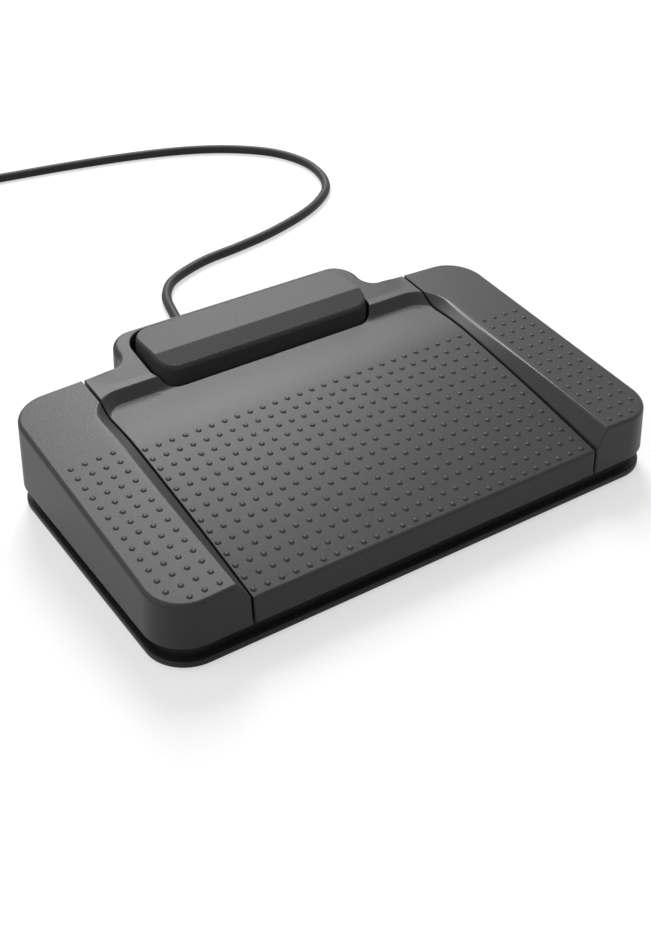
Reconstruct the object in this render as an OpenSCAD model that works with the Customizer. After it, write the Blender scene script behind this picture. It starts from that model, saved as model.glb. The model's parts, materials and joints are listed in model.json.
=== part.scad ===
// Foot pedal switch: three rocking pedals and a rear bar pedal on a low base, with a cord.
// Units are millimetres. X runs along the width, +Y to the rear, +Z up, the floor is Z = 0.

/* [Body] */
// Width over the pedals at their lower edge
body_w = 217; // [211:1:223]
// Depth from the pedal fronts to the back of the collar
body_d = 144.8; // [142.8:0.2:147.8]
// How far the collar stands out behind the pedals
collar_out = 18.4; // [17.4:0.2:19.4]
// Plan radius of the outer corners at the lower edge
corner_r = 16; // [14:0.5:18]
// Draft of the outer walls, degrees
draft = 3; // [1.5:0.5:4]
// Height of the pedals' lower edge above the floor
skirt_z = 10.3; // [10.2:0.1:11]
// Wall thickness of the pedal mouldings
wall = 2.2; // [1.8:0.1:2.4]

/* [Side pedals] */
// Distance of each seam from the middle
seam_x = 75.3; // [74.8:0.1:75.8]
// Width of the seam gap
seam_gap = 0.8; // [0.6:0.1:1.1]
// Height of the side pedals' top at the front
side_front_h = 28.7; // [27.5:0.1:30]
// Slope of the side pedals' top, degrees
side_slope = 5.2; // [4.6:0.1:5.6]
// Outward fall of the side pedals' top, degrees
side_tilt = 2.3; // [1.5:0.1:3]
// Width of the sloping wall beside each seam
bevel_w = 5.2; // [4.6:0.1:5.8]

/* [Centre pedal] */
// Height of the level rear part of the centre surface
floor_h = 35; // [34.5:0.1:35.6]
// Radius of the gentle crown along the centre surface
crown_r = 1200; // [1000:50:1500]
// Radius of the blend into the level rear part
blend_r = 125; // [115:5:135]
// Slope where the crown meets the blend, degrees
blend_angle = 7.6; // [7.2:0.1:8]
// Plan radius of the recess corners at their top edge
recess_r = 14; // [13:0.5:15]
// Half width of the collar round the bar
collar_hw = 58; // [57:0.2:59]
// Plan radius of the collar's rear corners
collar_r = 12; // [10:0.5:14]
// Upward slope of the collar's top, degrees
collar_slope = 10; // [9:0.2:11]
// Plan radius of the hollow corner between collar and rear wall
hollow_r = 5; // [3:0.5:6]

/* [Rear bar] */
// Length of the bar
bar_l = 97.2; // [95.2:0.2:98]
// Height of the bar's top above the floor
bar_h = 46; // [45:0.2:47]
// Depth of the bar from front to back
bar_d = 29.4; // [28.6:0.2:29.8]
// Plan radius of the bar's corners
bar_r = 8; // [6:0.5:9]
// Depth of the sloping front of the bar's top
bar_bevel = 8.7; // [7:0.1:10]
// Drop of the sloping front of the bar's top
bar_drop = 3.6; // [3:0.1:4.2]
// Gap between the bar's ends and the opening
bar_end_gap = 1.9; // [1.7:0.1:2.1]
// Gap between the bar's front and the opening
bar_front_gap = 1.4; // [1.3:0.1:1.5]
// Gap between the bar's back and the opening
bar_rear_gap = 2.1; // [2:0.1:2.3]

/* [Base] */
// Height of the base above the floor
foot_h = 1.5; // [1.2:0.1:1.9]
// Thickness of the base plate, seen as the lip
plate_t = 2.5; // [2.3:0.1:2.6]
// Set-back of the lip from the pedals' lower edge
lip_inset = 0.3; // [0:0.1:0.8]
// Height of the base's inner wall above the floor
upstand_z = 11; // [10.4:0.1:11.2]
// Radius of each rubber foot
foot_r = 8; // [6:0.5:9]

/* [Pivots] */
// Distance of the pedal pivot in front of the rear wall
pivot_in = 18; // [17.5:0.1:18.5]
// Height of the pedal pivot
pivot_z = 18; // [17.6:0.1:18.4]
// Radius of the pivot rods
rod_r = 2.5; // [2.2:0.1:2.8]
// Running clearance of the rods in the pedals
rod_clear = 0.06; // [0.03:0.01:0.1]
// Distance of the bar's pin in front of the collar's back
bar_pin_in = 10; // [9.6:0.1:10.4]
// Height of the bar's pin
bar_pin_z = 22; // [21.6:0.1:22.4]
// Radius of the bar's pin
pin_r = 1.5; // [1.4:0.1:1.8]

/* [Cord] */
// Outside diameter of the cord
cord_d = 4.8; // [4.4:0.1:5]

/* [Hidden] */
$fn = 64;
eps = 0.01;

// Plan limits
front_y = -body_d / 2;
collar_y = body_d / 2;
rear_y = collar_y - collar_out;
half_w = body_w / 2;
centre_hx = seam_x - seam_gap / 2;
side_x0 = seam_x + seam_gap / 2;
k_draft = tan(draft);
pivot_y = rear_y - pivot_in;
bar_pin_y = collar_y - bar_pin_in;
// Middle of the works under each side pedal
side_mid = (side_x0 + half_w) / 2 - 1.1;

// Top of the side pedals: a plane falling forward and outward
side_ref_x = seam_x + 9.45;
function side_z(x, y) = side_front_h + tan(side_slope) * (y - front_y) - tan(side_tilt) * (abs(x) - side_ref_x);
function rim_z(y) = side_z(seam_x, y);

// Centre surface: level at the rear, a blend, then a gentle crown to the front
level_y = rear_y - 31;
blend_c = [level_y, floor_h - blend_r];
blend_y = level_y - blend_r * sin(blend_angle);
blend_z = floor_h - blend_r * (1 - cos(blend_angle));
crown_c = [blend_y + crown_r * sin(blend_angle), blend_z - crown_r * cos(blend_angle)];
function floor_z(y) = y >= level_y ? floor_h
    : y >= blend_y ? blend_c[1] + sqrt(blend_r * blend_r - pow(y - blend_c[0], 2))
    : crown_c[1] + sqrt(crown_r * crown_r - pow(y - crown_c[0], 2));

// Bar and its opening
bar_hx = bar_l / 2;
bar_back = 6;
bar_y1 = collar_y - bar_back;
bar_y0 = bar_y1 - bar_d;
bar_wall = 2;
bar_skirt_z = 26;
open_hx = bar_hx + bar_end_gap;
open_y0 = bar_y0 - bar_front_gap;
open_y1 = bar_y1 + bar_rear_gap;
open_r = bar_r + 1.5;
open_rib = 2;
open_rib_z = 28;

// Collar top starts at this depth on the rim
collar_y0 = rear_y - 10;
function collar_z(y) = rim_z(collar_y0) + tan(collar_slope) * (y - collar_y0);

// Recess round the centre surface: foot and top edge of its walls
recess_top_y = rear_y - 13.6;
recess_foot_y = recess_top_y - 3.5;
recess_cx = seam_x + bevel_w - recess_r;
recess_cy = recess_top_y - recess_r;
foot_rx = seam_x - recess_cx;
foot_ry = recess_foot_y - recess_cy;

// Base heights
plate_z = foot_h + plate_t;
upstand_in = wall + 1.3;
upstand_t = 2.2;

// Pedal travel and the clearances that follow from it
travel = 3;
function drop_at(y) = (pivot_y - y) * sin(travel);
bar_travel = 3.5;

// Towers that hold the bar's pin
pin_tower_x = 30;

// Pivot posts: one under each side of the centre pedal and one under each side pedal
post_xs = [seam_x - 12.3, side_mid];
post_w = 8;
post_half = 10.5;
fork_gap = 0.4;
fork_t = 4;
fork_r = 5.5;
rod_over = 9.4;
rod_x0 = post_xs[0] - rod_over;
rod_x1 = post_xs[1] + rod_over;
cap_h = 6;
cap_screw_dy = 7;

// Stops: a flanged post on each pedal, a rubber pad under it and a hook over it
stop_y = front_y + 14.4;
stop_xs = [seam_x - 30.3, side_mid];
pad_r = 4.5;
pad_h = 2;
stop_gap = 0.4;
stop_post_r = 3.5;
stop_flange_r = 5.5;
stop_flange_t = 1.6;
stop_z = plate_z + pad_h + stop_gap + drop_at(stop_y) + 0.25;
hook_z = stop_z + stop_flange_t + stop_gap;
hook_t = 1.3;

// Springs
spring_y = front_y + 27.4;
spring_xs = [seam_x - 35.3, side_mid];
spring_r = 4.4;
spring_wire = 0.55;
spring_base_z = plate_z + 1;
spring_top_z = floor_z(spring_y) - wall - 2.1;
seat_r = 6.6;
bar_spring_y = bar_y0 + 8.2;
bar_tower_r = 5.2;
bar_tower_z = 26;
bar_seat_z = bar_h - 6.5;

// Magnets and the circuit board under them
magnet_r = 2.5;
magnet_t = 2;
sensor_y = -12;
sensor_side_x = side_mid;
board_z = plate_z + 1.2;
board_t = 1.6;
board_hx = side_mid + 8;
board_y0 = sensor_y - 8;
board_y1 = sensor_y + 8;
tongue_x0 = -31;
tongue_x1 = -13;
bar_sensor = [-22, bar_y0 + 5];
tongue_y1 = bar_sensor[1] + 5;
sensor_h = 1.5;
sensor_top = board_z + board_t + sensor_h;
magnet_z = sensor_top + drop_at(sensor_y) + 0.5;
bar_magnet_z = sensor_top + (bar_pin_y - bar_sensor[1]) * sin(bar_travel) + 0.6;
board_screws_x = [30, 80];

// Cord exit under the collar
cord_r = cord_d / 2;
boot_r = cord_r + 1.1;
boot_clear = 0.5;
exit_z = plate_z + boot_r + 0.3;
clamp_y = collar_y - 11.4;
clamp_hx = 8;
clamp_hy = 3;
clamp_h = 3.4;

// Foot positions
foot_half = [[half_w - 16.5, front_y + 15.4], [(post_xs[0] + post_xs[1]) / 2, pivot_y + 2],
    [collar_hw - 16, collar_y - 12.4]];
foot_spots = [for (f = foot_half) for (s = [1, -1]) [s * f[0], f[1]]];

// Route of the free cord on the floor, from the clamp to the coil, whose middle is at coil_x
coil_x = -80;
cord_z = cord_r;
tie_lift = 1;
route = [
    [0, clamp_y - 2.5, exit_z], [0, collar_y - 0.4, exit_z], [0, collar_y + 13.6, exit_z],
    [1, collar_y + 24.6, cord_z + 3.2], [2, collar_y + 34.6, cord_z + 1], [3, collar_y + 43.6, cord_z],
    [5, 128, cord_z], [8, 141, cord_z], [11, 152, cord_z], [15, 160, cord_z], [22, 168, cord_z],
    [33, 174, cord_z], [48, 179, cord_z], [68, 182, cord_z], [91, 187, cord_z], [116, 196, cord_z],
    [133, 206, cord_z], [145, 218, cord_z], [152, 235, cord_z], [153, 255, cord_z], [145, 276, cord_z],
    [127, 294, cord_z], [104, 307, cord_z], [74, 317, cord_z], [37, 325, cord_z], [0, 331, cord_z],
    [-26, 335, cord_z], [-46, 336, cord_z + tie_lift], [-62, 336, cord_z + tie_lift],
    [-68, 336, cord_z + tie_lift], [coil_x + cord_d, 336, cord_z + tie_lift]
];

// Coil of the rest of the cord: four layers, spiralling in and out
coil_turns = 10;
coil_layers = 4;
coil_pitch = cord_d + 1.1;
coil_mid_r = 28.4;
climb_turns = 0.5;
layer_turns = (coil_turns - (coil_layers - 1) * climb_turns) / coil_layers;
coil_out_r = coil_mid_r + layer_turns * coil_pitch / 2;
coil_c = [coil_x, 336 - coil_out_r];
coil_z0 = cord_z + tie_lift;
tail_l = 78;
plug_z = 4.3;

// Plan and solid helpers

module round_rect(x0, x1, y0, y1, r) {
    translate([x0 + r, y0]) square([x1 - x0 - 2 * r, y1 - y0]);
    translate([x0, y0 + r]) square([x1 - x0, y1 - y0 - 2 * r]);
    for (x = [x0 + r, x1 - r]) for (y = [y0 + r, y1 - r]) translate([x, y]) circle(r = r);
}

// Outline of the whole object at a set-back from the pedals' lower edge
module base_plan(inset) {
    hollow = hollow_r + inset;
    round_rect(-half_w + inset, half_w - inset, front_y + inset, rear_y - inset, corner_r - inset);
    round_rect(-collar_hw + inset, collar_hw - inset, 0, collar_y - inset, collar_r - inset);
    for (s = [0, 1]) mirror([s, 0]) difference() {
        translate([collar_hw - inset - 2, rear_y - inset - 2]) square([hollow + 2, hollow + 2]);
        translate([collar_hw - inset + hollow, rear_y - inset + hollow]) circle(r = hollow);
    }
}

// Box with drafted walls and conical corners; sizes hold at the pedals' lower edge
module drafted_box(hx, ya, yb, r, inset, za, zb) {
    sa = k_draft * (za - skirt_z) + inset;
    sb = k_draft * (zb - skirt_z) + inset;
    difference() {
        intersection() {
            translate([0, yb + 10, 0]) rotate([90, 0, 0]) linear_extrude(height = yb - ya + 20)
                polygon([[-hx + sa, za], [hx - sa, za], [hx - sb, zb], [-hx + sb, zb]]);
            translate([-hx - 10, 0, 0]) rotate([90, 0, 90]) linear_extrude(height = 2 * hx + 20)
                polygon([[ya + sa, za], [yb - sa, za], [yb - sb, zb], [ya + sb, zb]]);
        }
        for (s = [-1, 1]) for (t = [0, 1])
            translate([s * (hx - r + 15) - 15, t == 0 ? ya + r - 30 : yb - r, za - 1])
                cube([30, 30, zb - za + 2]);
    }
    for (s = [-1, 1]) for (y = [ya + r, yb - r])
        translate([s * (hx - r), y, za]) cylinder(h = zb - za, r1 = r - sa, r2 = r - sb);
}

// Prism with a profile given in the Y-Z plane
module yz_prism(hx, points) {
    translate([-hx, 0, 0]) rotate([90, 0, 90]) linear_extrude(height = 2 * hx) polygon(points);
}

// Everything below the right pedal's top plane
module below_side_top(drop) {
    turn_y = side_tilt;
    turn_x = atan(tan(side_slope) * cos(turn_y));
    translate([side_ref_x, front_y, side_front_h - drop]) rotate([turn_x, turn_y, 0])
        translate([-60, -40, -90]) cube([140, 240, 90]);
}

// Everything below the centre surface
crown_steps = 20;
blend_steps = 6;
crown_end = asin((crown_c[0] - front_y + 10) / crown_r);
function arc_point(c, r, a) = [c[0] - r * sin(a), c[1] + r * cos(a)];
module below_floor(drop) {
    crown = [for (i = [0:crown_steps])
        arc_point(crown_c, crown_r - drop, crown_end + (blend_angle - crown_end) * i / crown_steps)];
    blend = [for (i = [1:blend_steps]) arc_point(blend_c, blend_r - drop, blend_angle * (1 - i / blend_steps))];
    yz_prism(centre_hx + 5, concat([[crown[0][0], -5]], crown, blend,
        [[collar_y0 + 2, floor_h - drop], [collar_y0 + 2, -5]]));
}

// Stations along the recess wall: [foot point, top edge point]; lower keeps an inner skin as thick as the wall
recess_start = front_y - 8;
recess_shares = [0, 0.2472, 0.4157, 0.5655, 0.6779, 0.7528, 0.809, 0.8558, 0.9026, 0.9494, 1];
recess_ys = [for (u = recess_shares) recess_start + u * (recess_cy - recess_start)];
corner_steps = 8;
recess_lower = 0.4;
function side_station(y, g) = [[seam_x + g, y, floor_z(y) - recess_lower * g],
    [seam_x + bevel_w + g, y, side_z(seam_x + bevel_w, y) - recess_lower * g]];
function corner_station(a, g) = let (
    fx = recess_cx + (foot_rx + g) * cos(a), fy = recess_cy + (foot_ry + g) * sin(a),
    tx = recess_cx + (recess_r + g) * cos(a), ty = recess_cy + (recess_r + g) * sin(a))
    [[fx, fy, floor_h - recess_lower * g], [tx, ty, side_z(max(tx, seam_x), ty) - recess_lower * g]];
function stations(g) = concat([for (y = recess_ys) side_station(y, g)],
    [for (i = [1:corner_steps]) corner_station(i * 90 / corner_steps, g)]);
function along(s, z) = s[0] + (s[1] - s[0]) * (z - s[0][2]) / (s[1][2] - s[0][2]);
function left_of(p) = [for (q = p) [-q[0], q[1], q[2]]];
recess_top_z = 62;

// Space above the centre surface, bounded by the sloping walls; grow moves the walls outward
module recess(grow) {
    st = stations(grow);
    n = len(st);
    low = [for (s = st) along(s, s[0][2] - 3)];
    high = [for (s = st) along(s, s[1][2] + 2)];
    top = [for (p = high) [p[0], p[1], recess_top_z]];
    pts = concat(low, high, top, left_of(low), left_of(high), left_of(top));
    // Index blocks: low 0, high n, top 2n on the right, then 3n, 4n, 5n on the left
    right = [for (b = [0, n]) for (i = [0:n - 2])
        each [[b + i, b + i + n, b + i + 1], [b + i + 1, b + i + n, b + i + n + 1]]];
    left = [for (b = [3 * n, 4 * n]) for (i = [0:n - 2])
        each [[b + i, b + i + 1, b + i + n], [b + i + 1, b + i + n + 1, b + i + n]]];
    under = [for (i = [0:n - 2]) [i, i + 1, 3 * n + i + 1, 3 * n + i]];
    over = [for (i = [0:n - 2]) [2 * n + i, 5 * n + i, 5 * n + i + 1, 2 * n + i + 1]];
    front = [[0, 3 * n, 4 * n, 5 * n, 2 * n, n]];
    back = [[n - 1, 2 * n - 1, 3 * n - 1, 6 * n - 1, 5 * n - 1, 4 * n - 1]];
    polyhedron(points = pts, faces = concat(right, left, under, over, front, back), convexity = 6);
}

// Tube swept along a list of points
function unit(v) = v / norm(v);
function tangent(p, i) = unit(p[min(i + 1, len(p) - 1)] - p[max(i - 1, 0)]);
module tube(p, r, sides) {
    n = len(p);
    pts = [for (i = [0:n - 1]) let (t = tangent(p, i), s = unit(cross(t, [0, 0, 1])), u = cross(s, t))
        for (k = [0:sides - 1]) p[i] + r * (cos(360 * k / sides) * s + sin(360 * k / sides) * u)];
    walls = [for (i = [0:n - 2]) for (k = [0:sides - 1])
        let (a = i * sides + k, b = i * sides + (k + 1) % sides)
        each [[a, a + sides, b], [b, a + sides, b + sides]]];
    first = [[for (k = [0:sides - 1]) k]];
    last = [[for (k = [0:sides - 1]) n * sides - 1 - k]];
    polyhedron(points = pts, faces = concat(walls, first, last), convexity = 10);
}

// Smooth curve through route points
function spline(p, i, t) = let (
    a = p[max(i - 1, 0)], b = p[i], c = p[i + 1], d = p[min(i + 2, len(p) - 1)])
    0.5 * ((2 * b) + (c - a) * t + (2 * a - 5 * b + 4 * c - d) * t * t + (3 * b - a - 3 * c + d) * t * t * t);
function smooth_path(p, cuts) = concat([for (i = [0:len(p) - 2]) for (j = [0:cuts - 1]) spline(p, i, j / cuts)],
    [p[len(p) - 1]]);
function path_length(p, i = 0, sum = 0) =
    i >= len(p) - 1 ? sum : path_length(p, i + 1, sum + norm(p[i + 1] - p[i]));

// Coil path: radius and height by turn
coil_rings = 24;
layer_cycle = layer_turns + climb_turns;
function coil_layer(t) = min(floor(t / layer_cycle), coil_layers - 1);
function coil_part(t) = t - coil_layer(t) * layer_cycle;
function coil_step(t) = min(coil_part(t) / layer_turns, 1);
function coil_climb(t) = max(coil_part(t) - layer_turns, 0) / climb_turns;
function coil_inward(t) = coil_layer(t) % 2 == 0 ? coil_step(t) : 1 - coil_step(t);
function coil_radius(t) = coil_out_r - layer_turns * coil_pitch * coil_inward(t);
function coil_height(t) = coil_z0 + coil_pitch * (coil_layer(t) + coil_climb(t));
function coil_point(t) = [coil_c[0] + coil_radius(t) * cos(90 + 360 * t),
    coil_c[1] + coil_radius(t) * sin(90 + 360 * t),
    coil_height(t)];
coil_top = coil_z0 + (coil_layers - 1) * coil_pitch;
tail_start = [coil_c[0], coil_c[1] + coil_out_r, coil_top];
function tail_point(u) = tail_start + [-tail_l * u, 0, -(coil_top - plug_z) * (3 * u * u - 2 * u * u * u)];
coil_path = concat([coil_point(0) + [cord_d, 0, 0]],
    [for (i = [0:coil_turns * coil_rings]) coil_point(i / coil_rings)],
    [for (i = [1:10]) tail_point(i / 10)], [tail_point(1) + [-cord_d, 0, 0]]);
cord_path = smooth_path(route, 2);

// Least distance between parts of the coil that are over half a turn apart
coil_n = coil_turns * coil_rings;
coil_gap = min([for (i = [0:coil_n - 13])
    min([for (j = [i + 13:coil_n]) norm(coil_path[i] - coil_path[j])])]) - cord_d;
echo(coil_gap = coil_gap);
echo(cord_length_mm = path_length(cord_path) + path_length(coil_path));

// Base

module base_tray() {
    color([0.09, 0.09, 0.1]) difference() {
        union() {
            // Plate whose edge is the visible lip
            translate([0, 0, foot_h]) linear_extrude(height = plate_t) base_plan(lip_inset);
            // Inner wall that stands up inside the pedals' skirts
            translate([0, 0, plate_z - eps]) linear_extrude(height = upstand_z - plate_z) difference() {
                base_plan(upstand_in);
                base_plan(upstand_in + upstand_t);
            }
            // Pivot posts
            for (s = [-1, 1]) for (x = post_xs)
                translate([s * x - post_w / 2, pivot_y - post_half, plate_z - eps])
                    cube([post_w, 2 * post_half, pivot_z - plate_z + eps]);
            // Towers for the bar's pin
            for (s = [-1, 1]) translate([s * pin_tower_x - 3, bar_pin_y - 3.4, plate_z - eps])
                cube([6, 6.8, bar_pin_z + 1.2 - plate_z]);
            // Tower under the bar's spring, with a spigot inside the spring
            translate([0, bar_spring_y, plate_z - eps]) cylinder(h = bar_tower_z - plate_z, r = bar_tower_r);
            translate([0, bar_spring_y, bar_tower_z - eps]) cylinder(h = 3, r = 3.2);
            // Spring seats with spigots
            for (s = [-1, 1]) for (x = spring_xs) translate([s * x, spring_y, plate_z - eps]) {
                cylinder(h = spring_base_z - plate_z + eps, r = seat_r);
                cylinder(h = spring_base_z - plate_z + 4, r = 3.2);
            }
            // Hooks over the pedals' stop flanges
            for (s = [0, 1]) mirror([s, 0, 0]) for (x = stop_xs) translate([x, stop_y, 0]) {
                translate([-10, -3, plate_z - eps]) cube([3, 7, hook_z + hook_t - plate_z + eps]);
                translate([-10, -3, hook_z]) cube([5.7, 7, hook_t]);
            }
            // Board standoffs
            for (s = [-1, 1]) for (x = board_screws_x) translate([s * x, sensor_y, plate_z - eps])
                cylinder(h = board_z - plate_z + eps, r = 3.5);
            translate([tongue_x0 + 4, tongue_y1 - 9, plate_z - eps])
                cylinder(h = board_z - plate_z + eps, r = 2);
            // Saddle under the cord clamp
            translate([-clamp_hx, clamp_y - clamp_hy, plate_z - eps])
                cube([2 * clamp_hx, 2 * clamp_hy, exit_z - plate_z]);
        }
        // Half bores for the rods and snap mouths for the bar's pin
        for (s = [-1, 1]) translate([s * (rod_x0 + rod_x1) / 2, pivot_y, pivot_z]) rotate([0, 90, 0])
            cylinder(h = rod_x1 - rod_x0 + 2, r = rod_r, center = true);
        translate([0, bar_pin_y, bar_pin_z]) rotate([0, 90, 0])
            cylinder(h = 2 * pin_tower_x + 20, r = pin_r, center = true);
        for (s = [-1, 1]) translate([s * pin_tower_x - 4, bar_pin_y - pin_r * 0.8, bar_pin_z])
            cube([8, 1.6 * pin_r, 4]);
        // Screw holes with counterbores from below
        for (s = [-1, 1]) for (x = post_xs) for (d = [-1, 1])
            translate([s * x, pivot_y + d * cap_screw_dy, 0]) {
            cylinder(h = pivot_z + 1, r = 1.6);
            cylinder(h = foot_h + 3, r = 3);
        }
        // Recesses for the feet
        for (f = foot_spots) translate([f[0], f[1], 0]) cylinder(h = foot_h + 0.8, r = foot_r);
        // Way out for the cord and its strain relief
        translate([0, collar_y - upstand_in - upstand_t / 2, exit_z]) {
            rotate([90, 0, 0]) cylinder(h = upstand_t + 2, r = boot_r, center = true);
            translate([-boot_r, -upstand_t / 2 - 1, 0]) cube([2 * boot_r, upstand_t + 2, 10]);
        }
        translate([0, clamp_y, exit_z]) rotate([90, 0, 0]) cylinder(h = 20, r = cord_r, center = true);
        for (s = [-1, 1]) translate([s * 5.6, clamp_y, foot_h + 1]) cylinder(h = 12, r = 1);
        for (s = [-1, 1]) for (x = board_screws_x) translate([s * x, sensor_y, foot_h + 1])
            cylinder(h = 8, r = 1.1);
    }
}

module rubber_feet() {
    color([0.05, 0.05, 0.05]) for (f = foot_spots) translate([f[0], f[1], 0])
        cylinder(h = foot_h + 0.8, r1 = foot_r - 0.6, r2 = foot_r);
}

module pivot_rods() {
    color([0.7, 0.71, 0.73]) for (s = [0, 1]) mirror([s, 0, 0])
        translate([rod_x0, pivot_y, pivot_z]) rotate([0, 90, 0])
        cylinder(h = rod_x1 - rod_x0, r = rod_r);
}

module pivot_caps() {
    color([0.14, 0.14, 0.15]) for (s = [-1, 1]) for (x = post_xs) difference() {
        translate([s * x - post_w / 2, pivot_y - post_half, pivot_z]) cube([post_w, 2 * post_half, cap_h]);
        translate([s * x, pivot_y, pivot_z]) rotate([0, 90, 0])
            cylinder(h = post_w + 2, r = rod_r, center = true);
        for (d = [-1, 1]) translate([s * x, pivot_y + d * cap_screw_dy, pivot_z - 1])
            cylinder(h = cap_h, r = 1.5);
    }
}

module cap_screws() {
    color([0.6, 0.6, 0.62]) for (s = [-1, 1]) for (x = post_xs) for (d = [-1, 1])
        translate([s * x, pivot_y + d * cap_screw_dy, 0]) difference() {
            union() {
                translate([0, 0, foot_h + 0.6]) cylinder(h = 2.4, r = 2.75);
                translate([0, 0, foot_h + 2]) cylinder(h = pivot_z + 4.4 - foot_h - 2, r = 1.5);
            }
            translate([0, 0, foot_h]) cylinder(h = 1.9, r = 1.2, $fn = 6);
        }
}

// Pedal parts that hang from a pedal's underside

module fork(x) {
    for (d = [-1, 1]) translate([x + d * (post_w / 2 + fork_gap + fork_t / 2) - fork_t / 2, pivot_y, pivot_z]) {
        rotate([0, 90, 0]) cylinder(h = fork_t, r = fork_r);
        translate([0, -fork_r, 0]) cube([fork_t, 2 * fork_r, 40]);
    }
}

module fork_bores(x) {
    translate([x, pivot_y, pivot_z]) rotate([0, 90, 0])
        cylinder(h = post_w + 2 * fork_t + 6, r = rod_r + rod_clear, center = true);
}

module stop_post(x) {
    translate([x, stop_y, stop_z]) {
        cylinder(h = 40, r = stop_post_r);
        cylinder(h = stop_flange_t, r = stop_flange_r);
    }
}

module spring_seat(x) {
    translate([x, spring_y, spring_top_z + 0.3]) cylinder(h = 40, r = seat_r);
}

module magnet_post(x, y, z) {
    translate([x, y, z]) cylinder(h = 40, r = magnet_r + 1.3);
}

module magnet_pocket(x, y, z) {
    translate([x, y, z - 1]) cylinder(h = magnet_t + 1, r = magnet_r);
}

// Seam walls stop short so that they clear the base, and rise over the pivot rods
seam_wall_z = 17.5;
module seam_wall_cut() {
    inner = wall + 0.4;
    translate([0, front_y + inner, 0]) cube([wall + 1.4, rear_y - front_y - 2 * inner, seam_wall_z]);
    translate([0, pivot_y, pivot_z]) rotate([0, 90, 0]) cylinder(h = wall + 1.4, r = rod_r + 0.6);
}

// Side pedals, drawn on the right and mirrored for the left

module side_solid(inset, za) {
    difference() {
        intersection() {
            drafted_box(half_w, front_y, rear_y, corner_r, inset, za, 50);
            translate([side_x0 + inset, front_y - 5, za - 1]) cube([60, body_d, 60]);
            below_side_top(inset);
        }
        recess(inset);
    }
}

module side_pedal() {
    color([0.27, 0.27, 0.28]) difference() {
        union() {
            difference() {
                side_solid(0, skirt_z);
                side_solid(wall, 0);
            }
            intersection() {
                side_solid(eps, 0);
                union() {
                    fork(post_xs[1]);
                    stop_post(stop_xs[1]);
                    spring_seat(spring_xs[1]);
                    magnet_post(sensor_side_x, sensor_y, magnet_z);
                }
            }
        }
        fork_bores(post_xs[1]);
        magnet_pocket(sensor_side_x, sensor_y, magnet_z);
        translate([side_x0 - 1, 0, 0]) seam_wall_cut();
    }
}

module right_pedal() {
    side_pedal();
}

module left_pedal() {
    mirror([1, 0, 0]) side_pedal();
}

// Centre pedal with rim, recess and collar

module centre_plan_solid(inset, za) {
    hollow = hollow_r + inset;
    // The inner skin's corner cuts slightly past its tangent lines
    round_r = inset > 0 ? hollow + 0.2 : hollow;
    intersection() {
        drafted_box(half_w, front_y, rear_y, corner_r, inset, za, 50);
        translate([-centre_hx + inset, front_y - 5, za - 1]) cube([2 * (centre_hx - inset), body_d, 60]);
    }
    collar_solid(inset, za);
    // Hollow corners between collar and rear wall
    for (s = [0, 1]) mirror([s, 0, 0]) difference() {
        translate([collar_hw - inset - 6, rear_y - inset - 6, za]) cube([hollow + 6, hollow + 6, 50 - za]);
        translate([collar_hw - inset + hollow, rear_y - inset + hollow, za])
            cylinder(h = 50 - za, r1 = round_r + k_draft * (za - skirt_z),
                r2 = round_r + k_draft * (50 - skirt_z));
    }
}

rim_y0 = level_y + 2;
module collar_solid(inset, za) {
    drafted_box(collar_hw, level_y - 3, collar_y, collar_r, inset, za, 50);
}

module centre_solid(inset, za) {
    intersection() {
        centre_plan_solid(inset, za);
        union() {
            below_floor(inset);
            difference() {
                yz_prism(centre_hx + 5, [[rim_y0, -5], [collar_y + 5, -5],
                    [collar_y + 5, rim_z(collar_y + 5) - inset],
                    [rim_y0, rim_z(rim_y0) - inset]]);
                recess(inset);
            }
            intersection() {
                yz_prism(collar_hw + 5, [[collar_y0, -5], [collar_y + 5, -5],
                    [collar_y + 5, collar_z(collar_y + 5) - inset], [collar_y0, collar_z(collar_y0) - inset]]);
                collar_solid(inset, za);
            }
        }
    }
}

module bar_opening(grow, z0, z1) {
    translate([0, 0, z0]) linear_extrude(height = z1 - z0)
        round_rect(-open_hx - grow, open_hx + grow, open_y0 - grow, open_y1 + grow, open_r + grow);
}

module centre_pedal() {
    color([0.27, 0.27, 0.28]) difference() {
        union() {
            difference() {
                centre_solid(0, skirt_z);
                centre_solid(wall, 0);
            }
            intersection() {
                centre_solid(eps, 0);
                union() {
                    for (s = [-1, 1]) {
                        fork(s * post_xs[0]);
                        stop_post(s * stop_xs[0]);
                        spring_seat(s * spring_xs[0]);
                    }
                    magnet_post(0, sensor_y, magnet_z);
                    bar_opening(open_rib, open_rib_z, 60);
                }
            }
        }
        bar_opening(0, 0, 70);
        for (s = [-1, 1]) fork_bores(s * post_xs[0]);
        magnet_pocket(0, sensor_y, magnet_z);
        for (s = [0, 1]) mirror([s, 0, 0]) translate([centre_hx - wall - 0.4, 0, 0]) seam_wall_cut();
        // Notch over the cord's strain relief
        translate([0, collar_y, exit_z]) rotate([90, 0, 0])
            cylinder(h = 12, r = boot_r + boot_clear, center = true);
    }
}

// Rear bar

module bar_solid(inset) {
    intersection() {
        translate([0, 0, inset > 0 ? 0 : bar_skirt_z]) linear_extrude(height = 60)
            round_rect(-bar_hx + inset, bar_hx - inset, bar_y0 + inset, bar_y1 - inset, bar_r - inset);
        yz_prism(bar_hx + 5, [[bar_y0 - 5, 0], [bar_y1 + 5, 0], [bar_y1 + 5, bar_h - inset],
            [bar_y0 + bar_bevel, bar_h - inset], [bar_y0 - 5, bar_h - bar_drop * (1 + 5 / bar_bevel) - inset]]);
    }
}

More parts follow.
